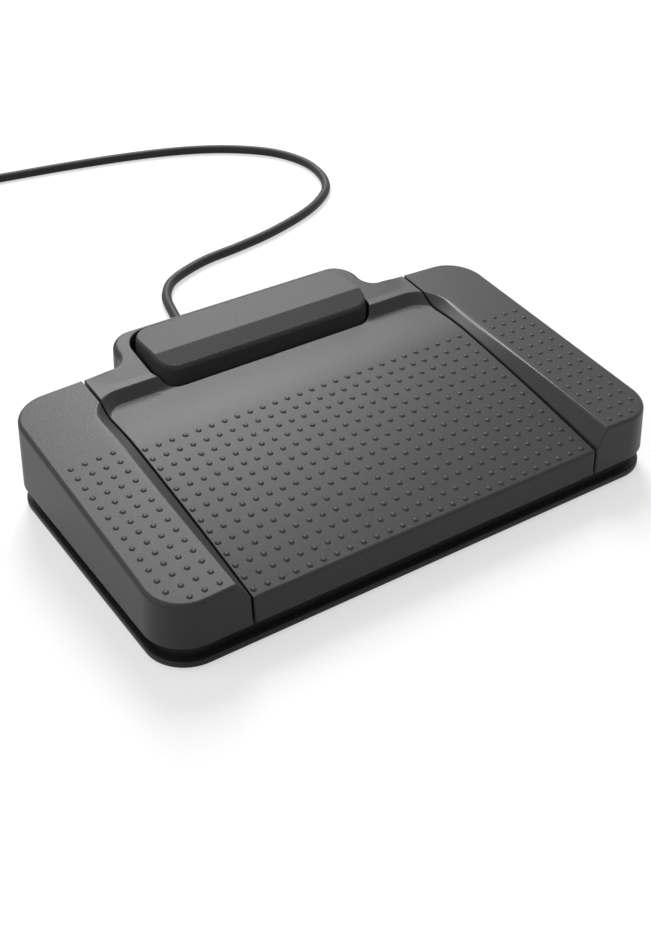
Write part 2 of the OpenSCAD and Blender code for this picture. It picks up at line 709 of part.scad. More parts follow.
module rear_bar() {
    color([0.3, 0.3, 0.31]) difference() {
        union() {
            difference() {
                bar_solid(0);
                bar_solid(bar_wall);
            }
            intersection() {
                bar_solid(eps * 2);
                union() {
                    // Lugs each side of the pin towers
                    for (s = [-1, 1]) for (d = [-1, 1])
                        translate([s * pin_tower_x + d * 4.9 - 1.5, bar_pin_y, bar_pin_z]) {
                        rotate([0, 90, 0]) cylinder(h = 3, r = 3.8);
                        translate([0, -3.8, 0]) cube([3, 7.6, 30]);
                    }
                    translate([0, bar_spring_y, bar_seat_z + 0.3]) cylinder(h = 20, r = 6.6);
                    magnet_post(bar_sensor[0], bar_sensor[1], bar_magnet_z);
                }
            }
        }
        translate([0, bar_pin_y, bar_pin_z]) rotate([0, 90, 0])
            cylinder(h = 2 * (bar_hx - 3.6), r = pin_r + rod_clear, center = true);
        magnet_pocket(bar_sensor[0], bar_sensor[1], bar_magnet_z);
    }
}

module bar_pin() {
    color([0.7, 0.71, 0.73]) translate([0, bar_pin_y, bar_pin_z]) rotate([0, 90, 0])
        cylinder(h = 2 * pin_tower_x + 16, r = pin_r, center = true);
}

// Springs, magnets, stops

module coil_spring(x, y, z0, z1, turns) {
    n = round(turns * 12);
    p = [for (i = [0:n]) let (u = i / n) [x + spring_r * cos(30 * i), y + spring_r * sin(30 * i),
        z0 + spring_wire + (z1 - z0 - 2 * spring_wire) * u]];
    color([0.72, 0.72, 0.74]) tube(p, spring_wire, 6);
}

module left_spring() {
    coil_spring(-spring_xs[1], spring_y, spring_base_z, spring_top_z, 5);
}

module right_spring() {
    coil_spring(spring_xs[1], spring_y, spring_base_z, spring_top_z, 5);
}

module centre_springs() {
    for (s = [-1, 1]) coil_spring(s * spring_xs[0], spring_y, spring_base_z, spring_top_z, 5);
}

module bar_spring() {
    coil_spring(0, bar_spring_y, bar_tower_z, bar_seat_z, 4);
}

module magnet(x, y, z) {
    color([0.55, 0.56, 0.58]) translate([x, y, z]) cylinder(h = magnet_t, r = magnet_r);
}

module left_magnet() {
    magnet(-sensor_side_x, sensor_y, magnet_z);
}

module centre_magnet() {
    magnet(0, sensor_y, magnet_z);
}

module right_magnet() {
    magnet(sensor_side_x, sensor_y, magnet_z);
}

module bar_magnet() {
    magnet(bar_sensor[0], bar_sensor[1], bar_magnet_z);
}

module bump_stops() {
    color([0.06, 0.06, 0.06]) for (s = [-1, 1]) for (x = stop_xs) translate([s * x, stop_y, plate_z])
        cylinder(h = pad_h, r = pad_r);
}

// Electronics

module circuit_board() {
    color([0.06, 0.3, 0.16]) difference() {
        translate([0, 0, board_z]) linear_extrude(height = board_t) difference() {
            union() {
                translate([-board_hx, board_y0]) square([2 * board_hx, board_y1 - board_y0]);
                translate([tongue_x0, board_y0]) square([tongue_x1 - tongue_x0, tongue_y1 - board_y0]);
            }
            for (s = [-1, 1]) for (x = board_screws_x) translate([s * x, sensor_y]) circle(r = 1.4);
        }
    }
}

module hall_sensors() {
    color([0.08, 0.08, 0.09]) {
        for (x = [-sensor_side_x, 0, sensor_side_x]) translate([x - 2, sensor_y - 1.5, board_z + board_t])
            cube([4, 3, sensor_h]);
        translate([bar_sensor[0] - 2, bar_sensor[1] - 1.5, board_z + board_t]) cube([4, 3, sensor_h]);
    }
}

module controller_chip() {
    color([0.1, 0.1, 0.11]) translate([9, sensor_y - 3.5, board_z + board_t]) cube([7, 7, 1]);
}

module cable_header() {
    color([0.85, 0.84, 0.8]) translate([19, sensor_y + 1, board_z + board_t]) difference() {
        cube([8, 7, 5]);
        translate([1, 3, 1.2]) cube([6, 5, 2.8]);
    }
}

module board_screws() {
    color([0.6, 0.6, 0.62]) for (s = [-1, 1]) for (x = board_screws_x) translate([s * x, sensor_y, 0]) {
        translate([0, 0, board_z + board_t]) cylinder(h = 1.4, r = 2.2);
        translate([0, 0, plate_z - 1]) cylinder(h = board_z + board_t - plate_z + 1.2, r = 1.1);
    }
}

// Cord and its fixings

module cord_clamp() {
    color([0.14, 0.14, 0.15]) difference() {
        translate([-clamp_hx, clamp_y - clamp_hy, exit_z]) cube([2 * clamp_hx, 2 * clamp_hy, clamp_h]);
        translate([0, clamp_y, exit_z]) rotate([90, 0, 0]) cylinder(h = 10, r = cord_r, center = true);
        for (s = [-1, 1]) translate([s * 5.6, clamp_y, exit_z - 1]) cylinder(h = clamp_h + 2, r = 1);
    }
}

module clamp_screws() {
    color([0.6, 0.6, 0.62]) for (s = [-1, 1]) translate([s * 5.6, clamp_y, 0]) {
        translate([0, 0, exit_z + clamp_h]) cylinder(h = 1.4, r = 2);
        translate([0, 0, plate_z]) cylinder(h = exit_z + clamp_h + 0.2 - plate_z, r = 1);
    }
}

module strain_relief() {
    in_face = collar_y - upstand_in - upstand_t;
    color([0.07, 0.07, 0.08]) difference() {
        union() {
            translate([0, in_face, exit_z]) rotate([-90, 0, 0])
                cylinder(h = collar_y + 3 - in_face, r = boot_r);
            translate([0, collar_y + 3 - eps, exit_z]) rotate([-90, 0, 0])
                cylinder(h = 10, r1 = boot_r, r2 = cord_r + 0.25);
            translate([-5, in_face - 2, plate_z + 0.2]) cube([10, 2, 2 * (exit_z - plate_z) - 0.4]);
        }
        translate([0, in_face - 3, exit_z]) rotate([-90, 0, 0]) cylinder(h = 30, r = cord_r + 0.05);
    }
}

module inner_lead() {
    high = exit_z + 1.7;
    lead = [[0, clamp_y - 2.5, exit_z], [0, clamp_y - 3.5, exit_z], [0, clamp_y - 4.5, exit_z],
        [4, clamp_y - 7.5, exit_z], [9.5, clamp_y - 12, exit_z], [14, clamp_y - 21, exit_z],
        [20, sensor_y + 30, exit_z + 1], [22.5, sensor_y + 16, high], [23, sensor_y + 8, high],
        [23, sensor_y + 4.2, high]];
    color([0.12, 0.12, 0.13]) tube(smooth_path(lead, 2), 1.2, 8);
}

module cable() {
    color([0.12, 0.12, 0.13]) tube(cord_path, cord_r, 8);
}

module cable_coil() {
    color([0.12, 0.12, 0.13]) tube(coil_path, cord_r, 6);
}

module cable_tie() {
    r_in = coil_mid_r - layer_turns * coil_pitch / 2 - cord_r - 0.4;
    r_out = coil_out_r + cord_r + 0.4;
    high = coil_top + cord_r + 0.4;
    color([0.2, 0.2, 0.21]) translate([coil_c[0], coil_c[1], 0]) rotate([0, 0, 225]) difference() {
        translate([r_in - 0.7, -2.5, 0]) cube([r_out - r_in + 1.4, 5, high + 0.7]);
        translate([r_in, -3, 0.7]) cube([r_out - r_in, 6, high - 0.7]);
    }
}

plug_x = coil_c[0] - tail_l - cord_d;
plug_y = coil_c[1] + coil_out_r;
plug_l = 34;

module usb_plug_body() {
    color([0.11, 0.11, 0.12]) difference() {
        union() {
            translate([plug_x - plug_l, plug_y - 7.5, plug_z - 4]) cube([plug_l - 6, 15, 8]);
            translate([plug_x - 6.2, plug_y, plug_z]) rotate([0, 90, 0])
                cylinder(h = 10.2, r1 = 3.9, r2 = cord_r + 0.5);
        }
        translate([plug_x, plug_y, plug_z]) rotate([0, 90, 0]) cylinder(h = 20, r = cord_r + 0.05);
    }
}

module usb_plug_shell() {
    color([0.75, 0.76, 0.78]) translate([plug_x - plug_l - 18.7, plug_y - 6, plug_z - 2.25]) difference() {
        cube([18.7, 12, 4.5]);
        translate([-1, 0.3, 0.3]) cube([19, 11.4, 3.9]);
        for (y = [3, 9]) translate([5, y - 1.25, 3]) cube([2.5, 2.5, 3]);
    }
}

module usb_plug_tongue() {
    color([0.85, 0.85, 0.86]) translate([plug_x - plug_l - 17.9, plug_y - 5.7, plug_z - 1.95])
        cube([17.2, 11.4, 1.9]);
}

base_tray();
rubber_feet();
pivot_rods();
pivot_caps();
cap_screws();
left_pedal();
centre_pedal();
right_pedal();
rear_bar();
bar_pin();
left_spring();
centre_springs();
right_spring();
bar_spring();
left_magnet();
centre_magnet();
right_magnet();
bar_magnet();
circuit_board();
hall_sensors();
controller_chip();
cable_header();
board_screws();
bump_stops();
cord_clamp();
clamp_screws();
strain_relief();
inner_lead();
cable();
cable_coil();
cable_tie();
usb_plug_body();
usb_plug_shell();
usb_plug_tongue();
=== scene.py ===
"""Looks of a foot pedal switch with three rocking pedals, a rear bar and a cord, built on its CAD frame."""

import json
import math

import bmesh
import bpy
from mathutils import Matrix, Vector

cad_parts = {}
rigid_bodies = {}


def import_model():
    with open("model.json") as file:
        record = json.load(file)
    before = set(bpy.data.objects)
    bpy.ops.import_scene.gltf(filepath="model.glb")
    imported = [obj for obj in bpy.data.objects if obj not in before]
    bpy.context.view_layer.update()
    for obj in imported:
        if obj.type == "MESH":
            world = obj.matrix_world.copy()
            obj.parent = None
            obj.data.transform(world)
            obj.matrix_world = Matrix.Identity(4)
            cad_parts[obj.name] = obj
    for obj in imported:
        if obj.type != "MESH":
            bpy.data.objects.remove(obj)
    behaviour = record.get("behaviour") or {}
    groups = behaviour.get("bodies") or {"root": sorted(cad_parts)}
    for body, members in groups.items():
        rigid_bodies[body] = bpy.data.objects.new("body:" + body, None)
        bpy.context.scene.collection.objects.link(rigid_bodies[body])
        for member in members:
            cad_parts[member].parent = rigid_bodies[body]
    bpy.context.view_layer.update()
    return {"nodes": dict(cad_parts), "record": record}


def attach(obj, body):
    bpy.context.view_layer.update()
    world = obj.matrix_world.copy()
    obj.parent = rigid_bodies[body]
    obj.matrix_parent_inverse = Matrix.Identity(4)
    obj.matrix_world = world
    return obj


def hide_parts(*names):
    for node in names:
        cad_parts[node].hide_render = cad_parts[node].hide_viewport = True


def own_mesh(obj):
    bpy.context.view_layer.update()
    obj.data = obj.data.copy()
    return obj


bl_info = {
    "name": "Foot Pedal Switch",
    "version": (1, 0, 0),
    "blender": (4, 5, 0),
    "location": "3D View > Sidebar > Pedal Switch",
    "description": "Mouldings, grip dots, cord, finishes and stage of a foot pedal switch",
    "category": "Add Mesh",
}

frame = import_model()

# Shape of the mouldings, in millimetres and radians, as in the part's source
MM = 0.001
FRONT_Y, REAR_Y, COLLAR_Y = -72.4, 54.0, 72.4
HALF_W, CORNER_R, SKIRT_Z = 108.5, 16.0, 10.3
DRAFT_DEGREES = 3
DRAFT = math.tan(math.radians(DRAFT_DEGREES))
SEAM_X, CENTRE_HX, SIDE_X0 = 75.3, 74.9, 75.7
SIDE_FRONT_H, SIDE_REF_X = 28.7, 84.75
SIDE_SLOPE, SIDE_TILT = math.tan(math.radians(5.2)), math.tan(math.radians(2.3))
BEVEL_W, FLOOR_H, LEVEL_Y = 5.2, 35.0, 23.0
BLEND_R, BLEND_ANGLE, CROWN_R = 125.0, math.radians(7.6), 1200.0
RECESS_CX, RECESS_CY, RECESS_R = 66.5, 26.4, 14.0
RECESS_TOP_Y, RECESS_FOOT_Y = 40.4, 36.9
FOOT_RX, FOOT_RY = 8.8, 10.5
COLLAR_R, HOLLOW_R = 12.0, 5.0
COLLAR_Y0, COLLAR_SLOPE = 44.0, math.tan(math.radians(10))
BAR_HX, BAR_Y0, BAR_Y1, BAR_R = 48.6, 37.0, 66.4, 8.0
BAR_H, BAR_BEVEL, BAR_DROP, BAR_SKIRT_Z = 46.0, 8.7, 3.6, 26.0
OPEN_HX, OPEN_Y0, OPEN_Y1, OPEN_R, OPEN_RIB_Z = 50.5, 35.6, 68.5, 9.5, 28.0
SEAM_WALL_Z, PIVOT_Y = 17.5, 36.0
EXIT_Z, NOTCH_R = 7.8, 4.0

# Shape that only the skins have, in millimetres and radians: blends, edges, room for the rod, thickness
KERB_SOFT, KERB_X, KERB_W = 1.8, 54.0, 6.0
COLLAR_BLEND_X, COLLAR_BLEND_W = 74.0, 11.0
SKIN_COLLAR_HW, COLLAR_ROUND, OPEN_ROUND = 59.0, 2.4, 0.5
BAR_ROUND, BAR_END_LEAN, BAR_END_IN = 2.4, 2.0, 0.4
BAR_CRISP, BAR_CREASE_SHARE = math.radians(48), 0.3
SEAM_EDGE_L, SEAM_FRONT_R, SEAM_REAR_R = 5, 0.8, 0.6
SEAM_FRONT_L, SEAM_REAR_L, ROD_ROOM, OVER_ROD_Z = 2.6, 3.2, 3.6, 21.3
PEDAL_THICK, PEDAL_CEILING = 2.5, 2.3
BAR_THICK, BAR_CEILING = 2.3, 2.15
SHARP_ANGLE, POSTS_Z0, NOTCH_DEEP = math.radians(35), 1.0, 1

# Route of the cord from the clamp to the coil, then the coil, its tie and its tail, in millimetres
ROUTE = [
    (0, 58.5, 7.8), (0, 72, 7.8), (0, 86, 7.8), (1, 97, 5.6), (2, 107, 3.4), (3, 116, 2.4), (5, 128, 2.4),
    (8, 141, 2.4), (11, 152, 2.4), (15, 160, 2.4), (22, 168, 2.4), (33, 174, 2.4), (48, 179, 2.4),
    (68, 182, 2.4), (91, 187, 2.4), (116, 196, 2.4), (133, 206, 2.4), (145, 218, 2.4), (152, 235, 2.4),
    (153, 255, 2.4), (145, 276, 2.4), (127, 294, 2.4), (104, 307, 2.4), (74, 317, 2.4), (37, 325, 2.4),
    (0, 331, 2.4), (-26, 335, 2.4), (-46, 336, 3.4), (-62, 336, 3.4), (-68, 336, 3.4), (-75.2, 336, 3.4),
]
ROUTE_CUTS, SHORTEST_STEP, CORD_D, CORD_GAP = 6, 0.05, 4.8, 0.05
COIL_X, COIL_LINE_Y, COIL_Z0, COIL_STEPS = -80.0, 336.0, 3.4, 48
COIL_TURNS, COIL_LAYERS, COIL_PITCH, COIL_MID_R, CLIMB_TURNS = 10, 4, 5.9, 28.4, 0.5
LAYER_TURNS = (COIL_TURNS - (COIL_LAYERS - 1) * CLIMB_TURNS) / COIL_LAYERS
COIL_OUT_R = COIL_MID_R + LAYER_TURNS * COIL_PITCH / 2
TIE_TURN, TIE_HW, TIE_THICK, TIE_SOFT, TIE_PARTS = 0.375, 2.5, 0.8, 0.2, 72
TAIL_L, TAIL_STEPS, PLUG_Z = 78.0, 20, 4.3
PLUG_X, PLUG_L = COIL_X - TAIL_L - CORD_D, 34.0


# Settings


def length(name, text, default):
    """Setting for a length in metres."""
    return bpy.props.FloatProperty(name=name, description=text, default=default, unit="LENGTH")


def tint(name, text, default):
    """Setting for a colour."""
    return bpy.props.FloatVectorProperty(
        name=name, description=text, default=default, size=3, subtype="COLOR", min=0, max=1)


class PedalSizes(bpy.types.PropertyGroup):
    """Sizes of the mouldings' edges and of the grip dots"""

    outer_round: length("Outer edge radius", "Rounding of the pedals' outer top edges", 0.0016)
    front_round: length("Front edge radius", "Rounding of the pedals' front top edges", 0.0011)
    rear_round: length("Rear edge radius", "Rounding of the rear top edges beside the seams", 0.0005)
    seam_round: length("Seam edge radius", "Rounding of the edges along the seams", 0.0004)
    crease_round: length("Crease softness", "Softening of the creases of the recess and the bar", 0.0005)
    dot_diameter: length("Dot diameter", "Diameter of one grip dot", 0.0024)
    dot_height: length("Dot height", "Height of one grip dot", 0.00038)
    dot_pitch: length("Dot pitch", "Distance between columns of dots", 0.00552)
    dot_row_pitch: length("Dot row pitch", "Distance between rows of dots along the slope", 0.00585)


class PedalFinishes(bpy.types.PropertyGroup):
    """Colours of the finishes"""

    pedal: tint("Pedals", "Colour of the pedal mouldings", (0.032, 0.032, 0.033))
    bar: tint("Bar", "Colour of the rear bar", (0.032, 0.032, 0.033))
    base: tint("Base", "Colour of the base", (0.012, 0.012, 0.0125))
    cord: tint("Cord", "Colour of the cord's sheath", (0.014, 0.014, 0.0146))
    floor: tint("Floor", "Colour of the studio floor", (0.45, 0.45, 0.45))


def sizes():
    """Sizes that the panel shows."""
    return bpy.context.scene.pedal_sizes


def rounds():
    """Edge radii in millimetres at the front, the outside, the rear and the seams."""
    s = sizes()
    return [size / MM for size in (s.front_round, s.outer_round, s.rear_round, s.seam_round)]


# Numbers


def unit(value):
    """Value held between 0 and 1."""
    return min(max(value, 0), 1)


def eased(value):
    """Smooth step from 0 to 1."""
    share = unit(value)
    return share * share * (3 - 2 * share)


def between(first, second, share):
    """Row of values at a share of the way from one row to another."""
    return [a + (b - a) * share for a, b in zip(first, second)]


def cuts(*ranges):
    """Evenly spaced lines through ranges, each given as its start, its end and its largest step."""
    lines = []
    for start, end, step in ranges:
        parts = max(1, math.ceil((end - start) / step))
        lines += [start + (end - start) * k / parts for k in range(parts + 1)]
    return lines


# Heights of the tops

WALL_BELOW, WALL_ABOVE, WALL_HALVINGS = 0.98, 12.0, 40


def soft_min(a, b, k):
    """Smaller of two heights, with the crease between them rounded off."""
    near = max(k - abs(a - b), 0) / k
    return min(a, b) - near * near * k / 4


def side_plane(x, y):
    """Top plane of the side pedals."""
    return SIDE_FRONT_H + SIDE_SLOPE * (y - FRONT_Y) - SIDE_TILT * (abs(x) - SIDE_REF_X)


def rim_plane(y):
    """Top of the centre pedal's rear rim."""
    return side_plane(SEAM_X, y)


def centre_floor(y):
    """Foot surface of the centre pedal: level, a blend, then a gentle crown."""
    if y >= LEVEL_Y:
        return FLOOR_H
    blend_y = LEVEL_Y - BLEND_R * math.sin(BLEND_ANGLE)
    if y >= blend_y:
        return FLOOR_H - BLEND_R + math.sqrt(BLEND_R**2 - (y - LEVEL_Y) ** 2)
    blend_z = FLOOR_H - BLEND_R * (1 - math.cos(BLEND_ANGLE))
    crown_y = blend_y + CROWN_R * math.sin(BLEND_ANGLE)
    crown_z = blend_z - CROWN_R * math.cos(BLEND_ANGLE)
    return crown_z + math.sqrt(CROWN_R**2 - (y - crown_y) ** 2)


def foot_surface(x, y):
    """Centre pedal's foot surface, which is the same all across."""
    return centre_floor(y)


def recess_wall(x, y):
    """Sloping wall round the recess, extended above its top edge and below its foot."""
    across = abs(x)
    if y <= RECESS_CY:
        foot, head = centre_floor(y), side_plane(SEAM_X + BEVEL_W, y)
        return foot + (across - SEAM_X) / BEVEL_W * (head - foot)
    if across <= RECESS_CX:
        share = (y - RECESS_FOOT_Y) / (RECESS_TOP_Y - RECESS_FOOT_Y)
        return FLOOR_H + share * (rim_plane(RECESS_TOP_Y) - FLOOR_H)
    dx, dy = across - RECESS_CX, y - RECESS_CY
    low, high = -WALL_BELOW * FOOT_RX / BEVEL_W, WALL_ABOVE
    for _ in range(WALL_HALVINGS):
        mid = (low + high) / 2
        rx = FOOT_RX + mid * BEVEL_W
        ry = FOOT_RY + mid * (RECESS_R - FOOT_RY)
        if (dx / rx) ** 2 + (dy / ry) ** 2 > 1:
            low = mid
        else:
            high = mid
    rx = FOOT_RX + low * BEVEL_W
    ry = FOOT_RY + low * (RECESS_R - FOOT_RY)
    turn = math.atan2(dy / ry, dx / rx)
    head_x = max(RECESS_CX + RECESS_R * math.cos(turn), SEAM_X)
    head = side_plane(head_x, RECESS_CY + RECESS_R * math.sin(turn))
    return FLOOR_H + low * (head - FLOOR_H)


def side_top(x, y):
    """Top of a side pedal with its sloping inner wall."""
    crease = sizes().crease_round / MM
    return soft_min(side_plane(x, y), recess_wall(x, y), crease)


def centre_lid(x, y):
    """Top of the centre pedal's rim and of the collar round the bar."""
    rim = rim_plane(y)
    if y <= COLLAR_Y0:
        return rim
    collar = rim_plane(COLLAR_Y0) + COLLAR_SLOPE * (y - COLLAR_Y0)
    return rim + (collar - rim) * eased((COLLAR_BLEND_X - abs(x)) / COLLAR_BLEND_W)


def centre_top(x, y):
    """Top of the centre pedal: foot surface, recess wall, rim and collar."""
    crease = sizes().crease_round / MM
    kerb = crease + KERB_SOFT * eased((KERB_X - abs(x)) / KERB_W)
    foot = -soft_min(-centre_floor(y), -recess_wall(x, y), kerb)
    return soft_min(foot, centre_lid(x, y), crease)


def bar_top(x, y):
    """Top of the bar: level behind, sloping down at the front."""
    crease = BAR_CREASE_SHARE * sizes().crease_round / MM
    slope = BAR_H - BAR_DROP * (BAR_Y0 + BAR_BEVEL - y) / BAR_BEVEL
    return soft_min(BAR_H, slope, crease)


def surface_normal(top, x, y, step=0.2):
    """Upward normal of a top at a point."""
    across = (top(x + step, y) - top(x - step, y)) / (2 * step)
    along = (top(x, y + step) - top(x, y - step)) / (2 * step)
    return Vector((-across, -along, 1)).normalized()


# Mouldings: an outline with rounded top edges, drafted walls and an open underside

CORNER_GAP, CORNER_STEP, CORNER_PARTS = 0.05, 1.2, 4
EDGE_STEP, EDGE_PARTS, SHORTEST_EDGE = 4.0, 6, 0.5
SEAM_REACH, SEAM_GROWTH = 6, 0.4
EDGE_SUPPORT, ROUND_STEPS = 0.06, 6
CRISP_R, CRISP_STEPS = 0.4, 3
WALL_SUPPORT, HEAD_TRIES = 0.12, 5
FOOT_SOFT, FOOT_SOFT_SHARE, FOOT_ARC = 0.35, 0.4, 0.29
CUT_SNAP, CUT_SLANT = 0.0005, 0.001


def turn_between(first, second):
    """Angle from one direction to another, positive to the left."""
    return math.atan2(first.cross(second), first.dot(second))


def outline(corners):
    """Samples round an outline, each a point with what its wall has.

    A sample is (x, y, normal x, normal y, edge radius, lean, foot height, drift x, drift y). A corner is
    (x, y, plan radius) and what the edge after it has: edge radius, lean and foot height. The drift is the
    way in which a drafted wall moves as it rises. A corner where a seam begins moves with the drafted wall.
    """
    samples = []
    count = len(corners)
    for i in range(count):
        before, here, after = corners[i - 1], corners[i], corners[(i + 1) % count]
        point = Vector(here[:2])
        into = (point - Vector(before[:2])).normalized()
        away = (Vector(after[:2]) - point).normalized()
        old, new = before[3:], here[3:]
        n_in, n_out = Vector((into.y, -into.x)), Vector((away.y, -away.x))
        radius = here[2]
        if radius == 0:
            sides = ((point - into * CORNER_GAP, n_in, old), (point + away * CORNER_GAP, n_out, new))
            for place, normal, attrs in sides:
                samples.append((place.x, place.y, normal.x, normal.y, *attrs, *(-normal * attrs[1])))
        else:
            turn = turn_between(into, away)
            hub = point - into * radius * math.tan(abs(turn) / 2) - n_in * radius * math.copysign(1, turn)
            parts = max(CORNER_PARTS, int(abs(turn) * radius / CORNER_STEP))
            for k in range(parts + 1):
                angle = turn * k / parts
                normal = Vector((n_in.x * math.cos(angle) - n_in.y * math.sin(angle),
                                 n_in.x * math.sin(angle) + n_in.y * math.cos(angle)))
                place = hub + normal * radius * math.copysign(1, turn)
                attrs = between(old, new, k / parts)
                drift = -normal * new[1] if old[1] == new[1] else -n_in * old[1] - n_out * new[1]
                samples.append((place.x, place.y, normal.x, normal.y, *attrs, *drift))
        later = corners[(i + 2) % count]
        next_way = (Vector(later[:2]) - Vector(after[:2])).normalized()
        reach = after[2] * abs(math.tan(turn_between(away, next_way) / 2))
        start = Vector(samples[-1][:2])
        end = Vector(after[:2]) - away * max(reach, CORNER_GAP)
        run = (end - start).dot(away)
        parts = max(EDGE_PARTS, int(run / EDGE_STEP)) if run > SHORTEST_EDGE else 0
        for k in range(1, parts):
            place = start + away * run * k / parts
            samples.append((place.x, place.y, n_out.x, n_out.y, *new, None, k / parts))
    return [near_seam(along_edge(samples, i)) for i in range(len(samples))]


def along_edge(samples, i):
    """Sample i, whose drift on a straight edge lies between those of the corners at its ends."""
    if samples[i][7] is not None:
        return samples[i]
    before, after = i, i
    while samples[before][7] is None:
        before -= 1
    while samples[after][7] is None:
        after = (after + 1) % len(samples)
    return (*samples[i][:7], *between(samples[before][7:], samples[after][7:], samples[i][8]))


def near_seam(sample):
    """Sample with a small edge radius close to a seam, growing away from it."""
    x, radius, lean = abs(sample[0]), sample[4], sample[5]
    off = min(abs(x - CENTRE_HX), abs(x - SIDE_X0))
    if lean == 0 or off > SEAM_REACH:
        return sample
    seam = sizes().seam_round / MM
    return (*sample[:4], min(radius, seam + SEAM_GROWTH * off), *sample[5:])


def wall_place(sample, z):
    """Point of the outer wall at a height."""
    slip = DRAFT * (z - SKIRT_Z)
    return sample[0] + sample[7] * slip, sample[1] + sample[8] * slip


def wall_head(sample, top):
    """Point where the wall, before its rounding, meets the top."""
    x, y = sample[0], sample[1]
    for _ in range(HEAD_TRIES):
        x, y = wall_place(sample, top(x, y))
    return x, y


def edge_profile(sample, crisp):
    """Steps (out, down) round a top edge, and how far in from the wall they start.

    The edge turns by the crisp angle on a small radius first, and by the rest on the sample's own radius.
    """
    radius, turn = sample[4], math.radians(90 - DRAFT_DEGREES * sample[5])
    angles = [crisp * k / CRISP_STEPS for k in range(CRISP_STEPS)] if crisp else []
    angles += [crisp + (turn - crisp) * k / ROUND_STEPS for k in range(ROUND_STEPS + 1)]
    steps = []
    for angle in angles:
        first = min(angle, crisp)
        out = CRISP_R * math.sin(first) + radius * (math.sin(angle) - math.sin(first))
        down = CRISP_R * (1 - math.cos(first)) + radius * (math.cos(first) - math.cos(angle))
        steps.append((out, down))
    return steps, out - down / math.tan(turn)


def top_edge_point(sample, top, crisp):
    """Point of the top's own surface just inside the rounded edge."""
    x, y = wall_head(sample, top)
    depth = edge_profile(sample, crisp)[1] + EDGE_SUPPORT
    return x - sample[2] * depth, y - sample[3] * depth


def wall_rows(sample, top, crisp):
    """Points down a wall, from the start of its rounded top edge to the inner foot."""
    head_x, head_y = wall_head(sample, top)
    nx, ny, radius, _, foot = sample[2:7]
    steps, depth = edge_profile(sample, crisp)
    x0, y0 = head_x - nx * depth, head_y - ny * depth
    z0 = top(x0, y0)
    slope = (top(head_x, head_y) - z0) / depth
    rows = [(x0 + nx * out, y0 + ny * out, z0 + slope * out - down) for out, down in steps]
    edge_z = rows[-1][2]
    rows[-1] = (*wall_place(sample, edge_z), edge_z)
    soft = min(FOOT_SOFT, radius * FOOT_SOFT_SHARE)
    for z in (edge_z - WALL_SUPPORT, foot + soft + WALL_SUPPORT, foot + soft):
        rows.append((*wall_place(sample, z), z))
    x, y = wall_place(sample, foot)
    for part, rise in ((FOOT_ARC, FOOT_ARC), (1.0, 0.0)):
        rows.append((x - nx * soft * part, y - ny * soft * part, foot + soft * rise))
    inner = depth + EDGE_SUPPORT
    rows.append((x - nx * inner, y - ny * inner, foot))
    return rows


def cut_plan(loops, xs, ys):
    """Flat plan inside the loops, cut along lines of equal x and y."""
    bm = bmesh.new()
    for loop in loops:
        verts = [bm.verts.new((x, y, 0)) for x, y in loop]
        for a, b in zip(verts, verts[1:] + verts[:1]):
            bm.edges.new((a, b))
    bmesh.ops.triangle_fill(bm, use_beauty=True, edges=bm.edges[:], normal=(0, 0, 1))
    for axis, places in ((0, xs), (1, ys)):
        for place in places:
            co, no = Vector(), Vector()
            co[axis], no[axis] = place, 1
            geom = bm.verts[:] + bm.edges[:] + bm.faces[:]
            bmesh.ops.bisect_plane(bm, geom=geom, dist=CUT_SNAP, plane_co=co, plane_no=no)
    slanted = []
    for edge in bm.edges:
        run = edge.verts[1].co - edge.verts[0].co
        if len(edge.link_faces) == 2 and min(abs(run.x), abs(run.y)) > CUT_SLANT:
            slanted.append(edge)
    bmesh.ops.dissolve_edges(bm, edges=slanted, use_verts=False)
    spare = [v for v in bm.verts if len(v.link_edges) == 2 and not v.is_boundary]
    bmesh.ops.dissolve_verts(bm, verts=spare)
    return bm


def boundary_loops(bm):
    """Closed loops of the plan's boundary vertices, in order."""
    left = {v for v in bm.verts if v.is_boundary}
    loops = []
    while left:
        start = min(left, key=lambda v: v.index)
        loop, here, before = [start], start, None
        while True:
            ways = [e.other_vert(here) for e in here.link_edges if e.is_boundary]
            onward = ways[0] if ways[0] is not before else ways[1]
            if onward is start:
                break
            loop.append(onward)
            before, here = here, onward
        left -= set(loop)
        loops.append(loop)
    return loops


def sample_at(place, samples, points):
    """Distance and values of the outline sample that belongs to a point of the plan's boundary."""
    best = None
    for i, a in enumerate(points):
        b = points[(i + 1) % len(points)]
        ab, ap = b - a, place - a
        share = unit(ap.dot(ab) / max(ab.length_squared, 1e-12))
        gap = (ap - ab * share).length
        if best is None or gap < best[0]:
            best = (gap, i, share)
    gap, i, share = best
    mixed = between(samples[i], samples[(i + 1) % len(samples)], share)
    size = math.hypot(mixed[2], mixed[3])
    mixed[2], mixed[3] = mixed[2] / size, mixed[3] / size
    return gap, mixed


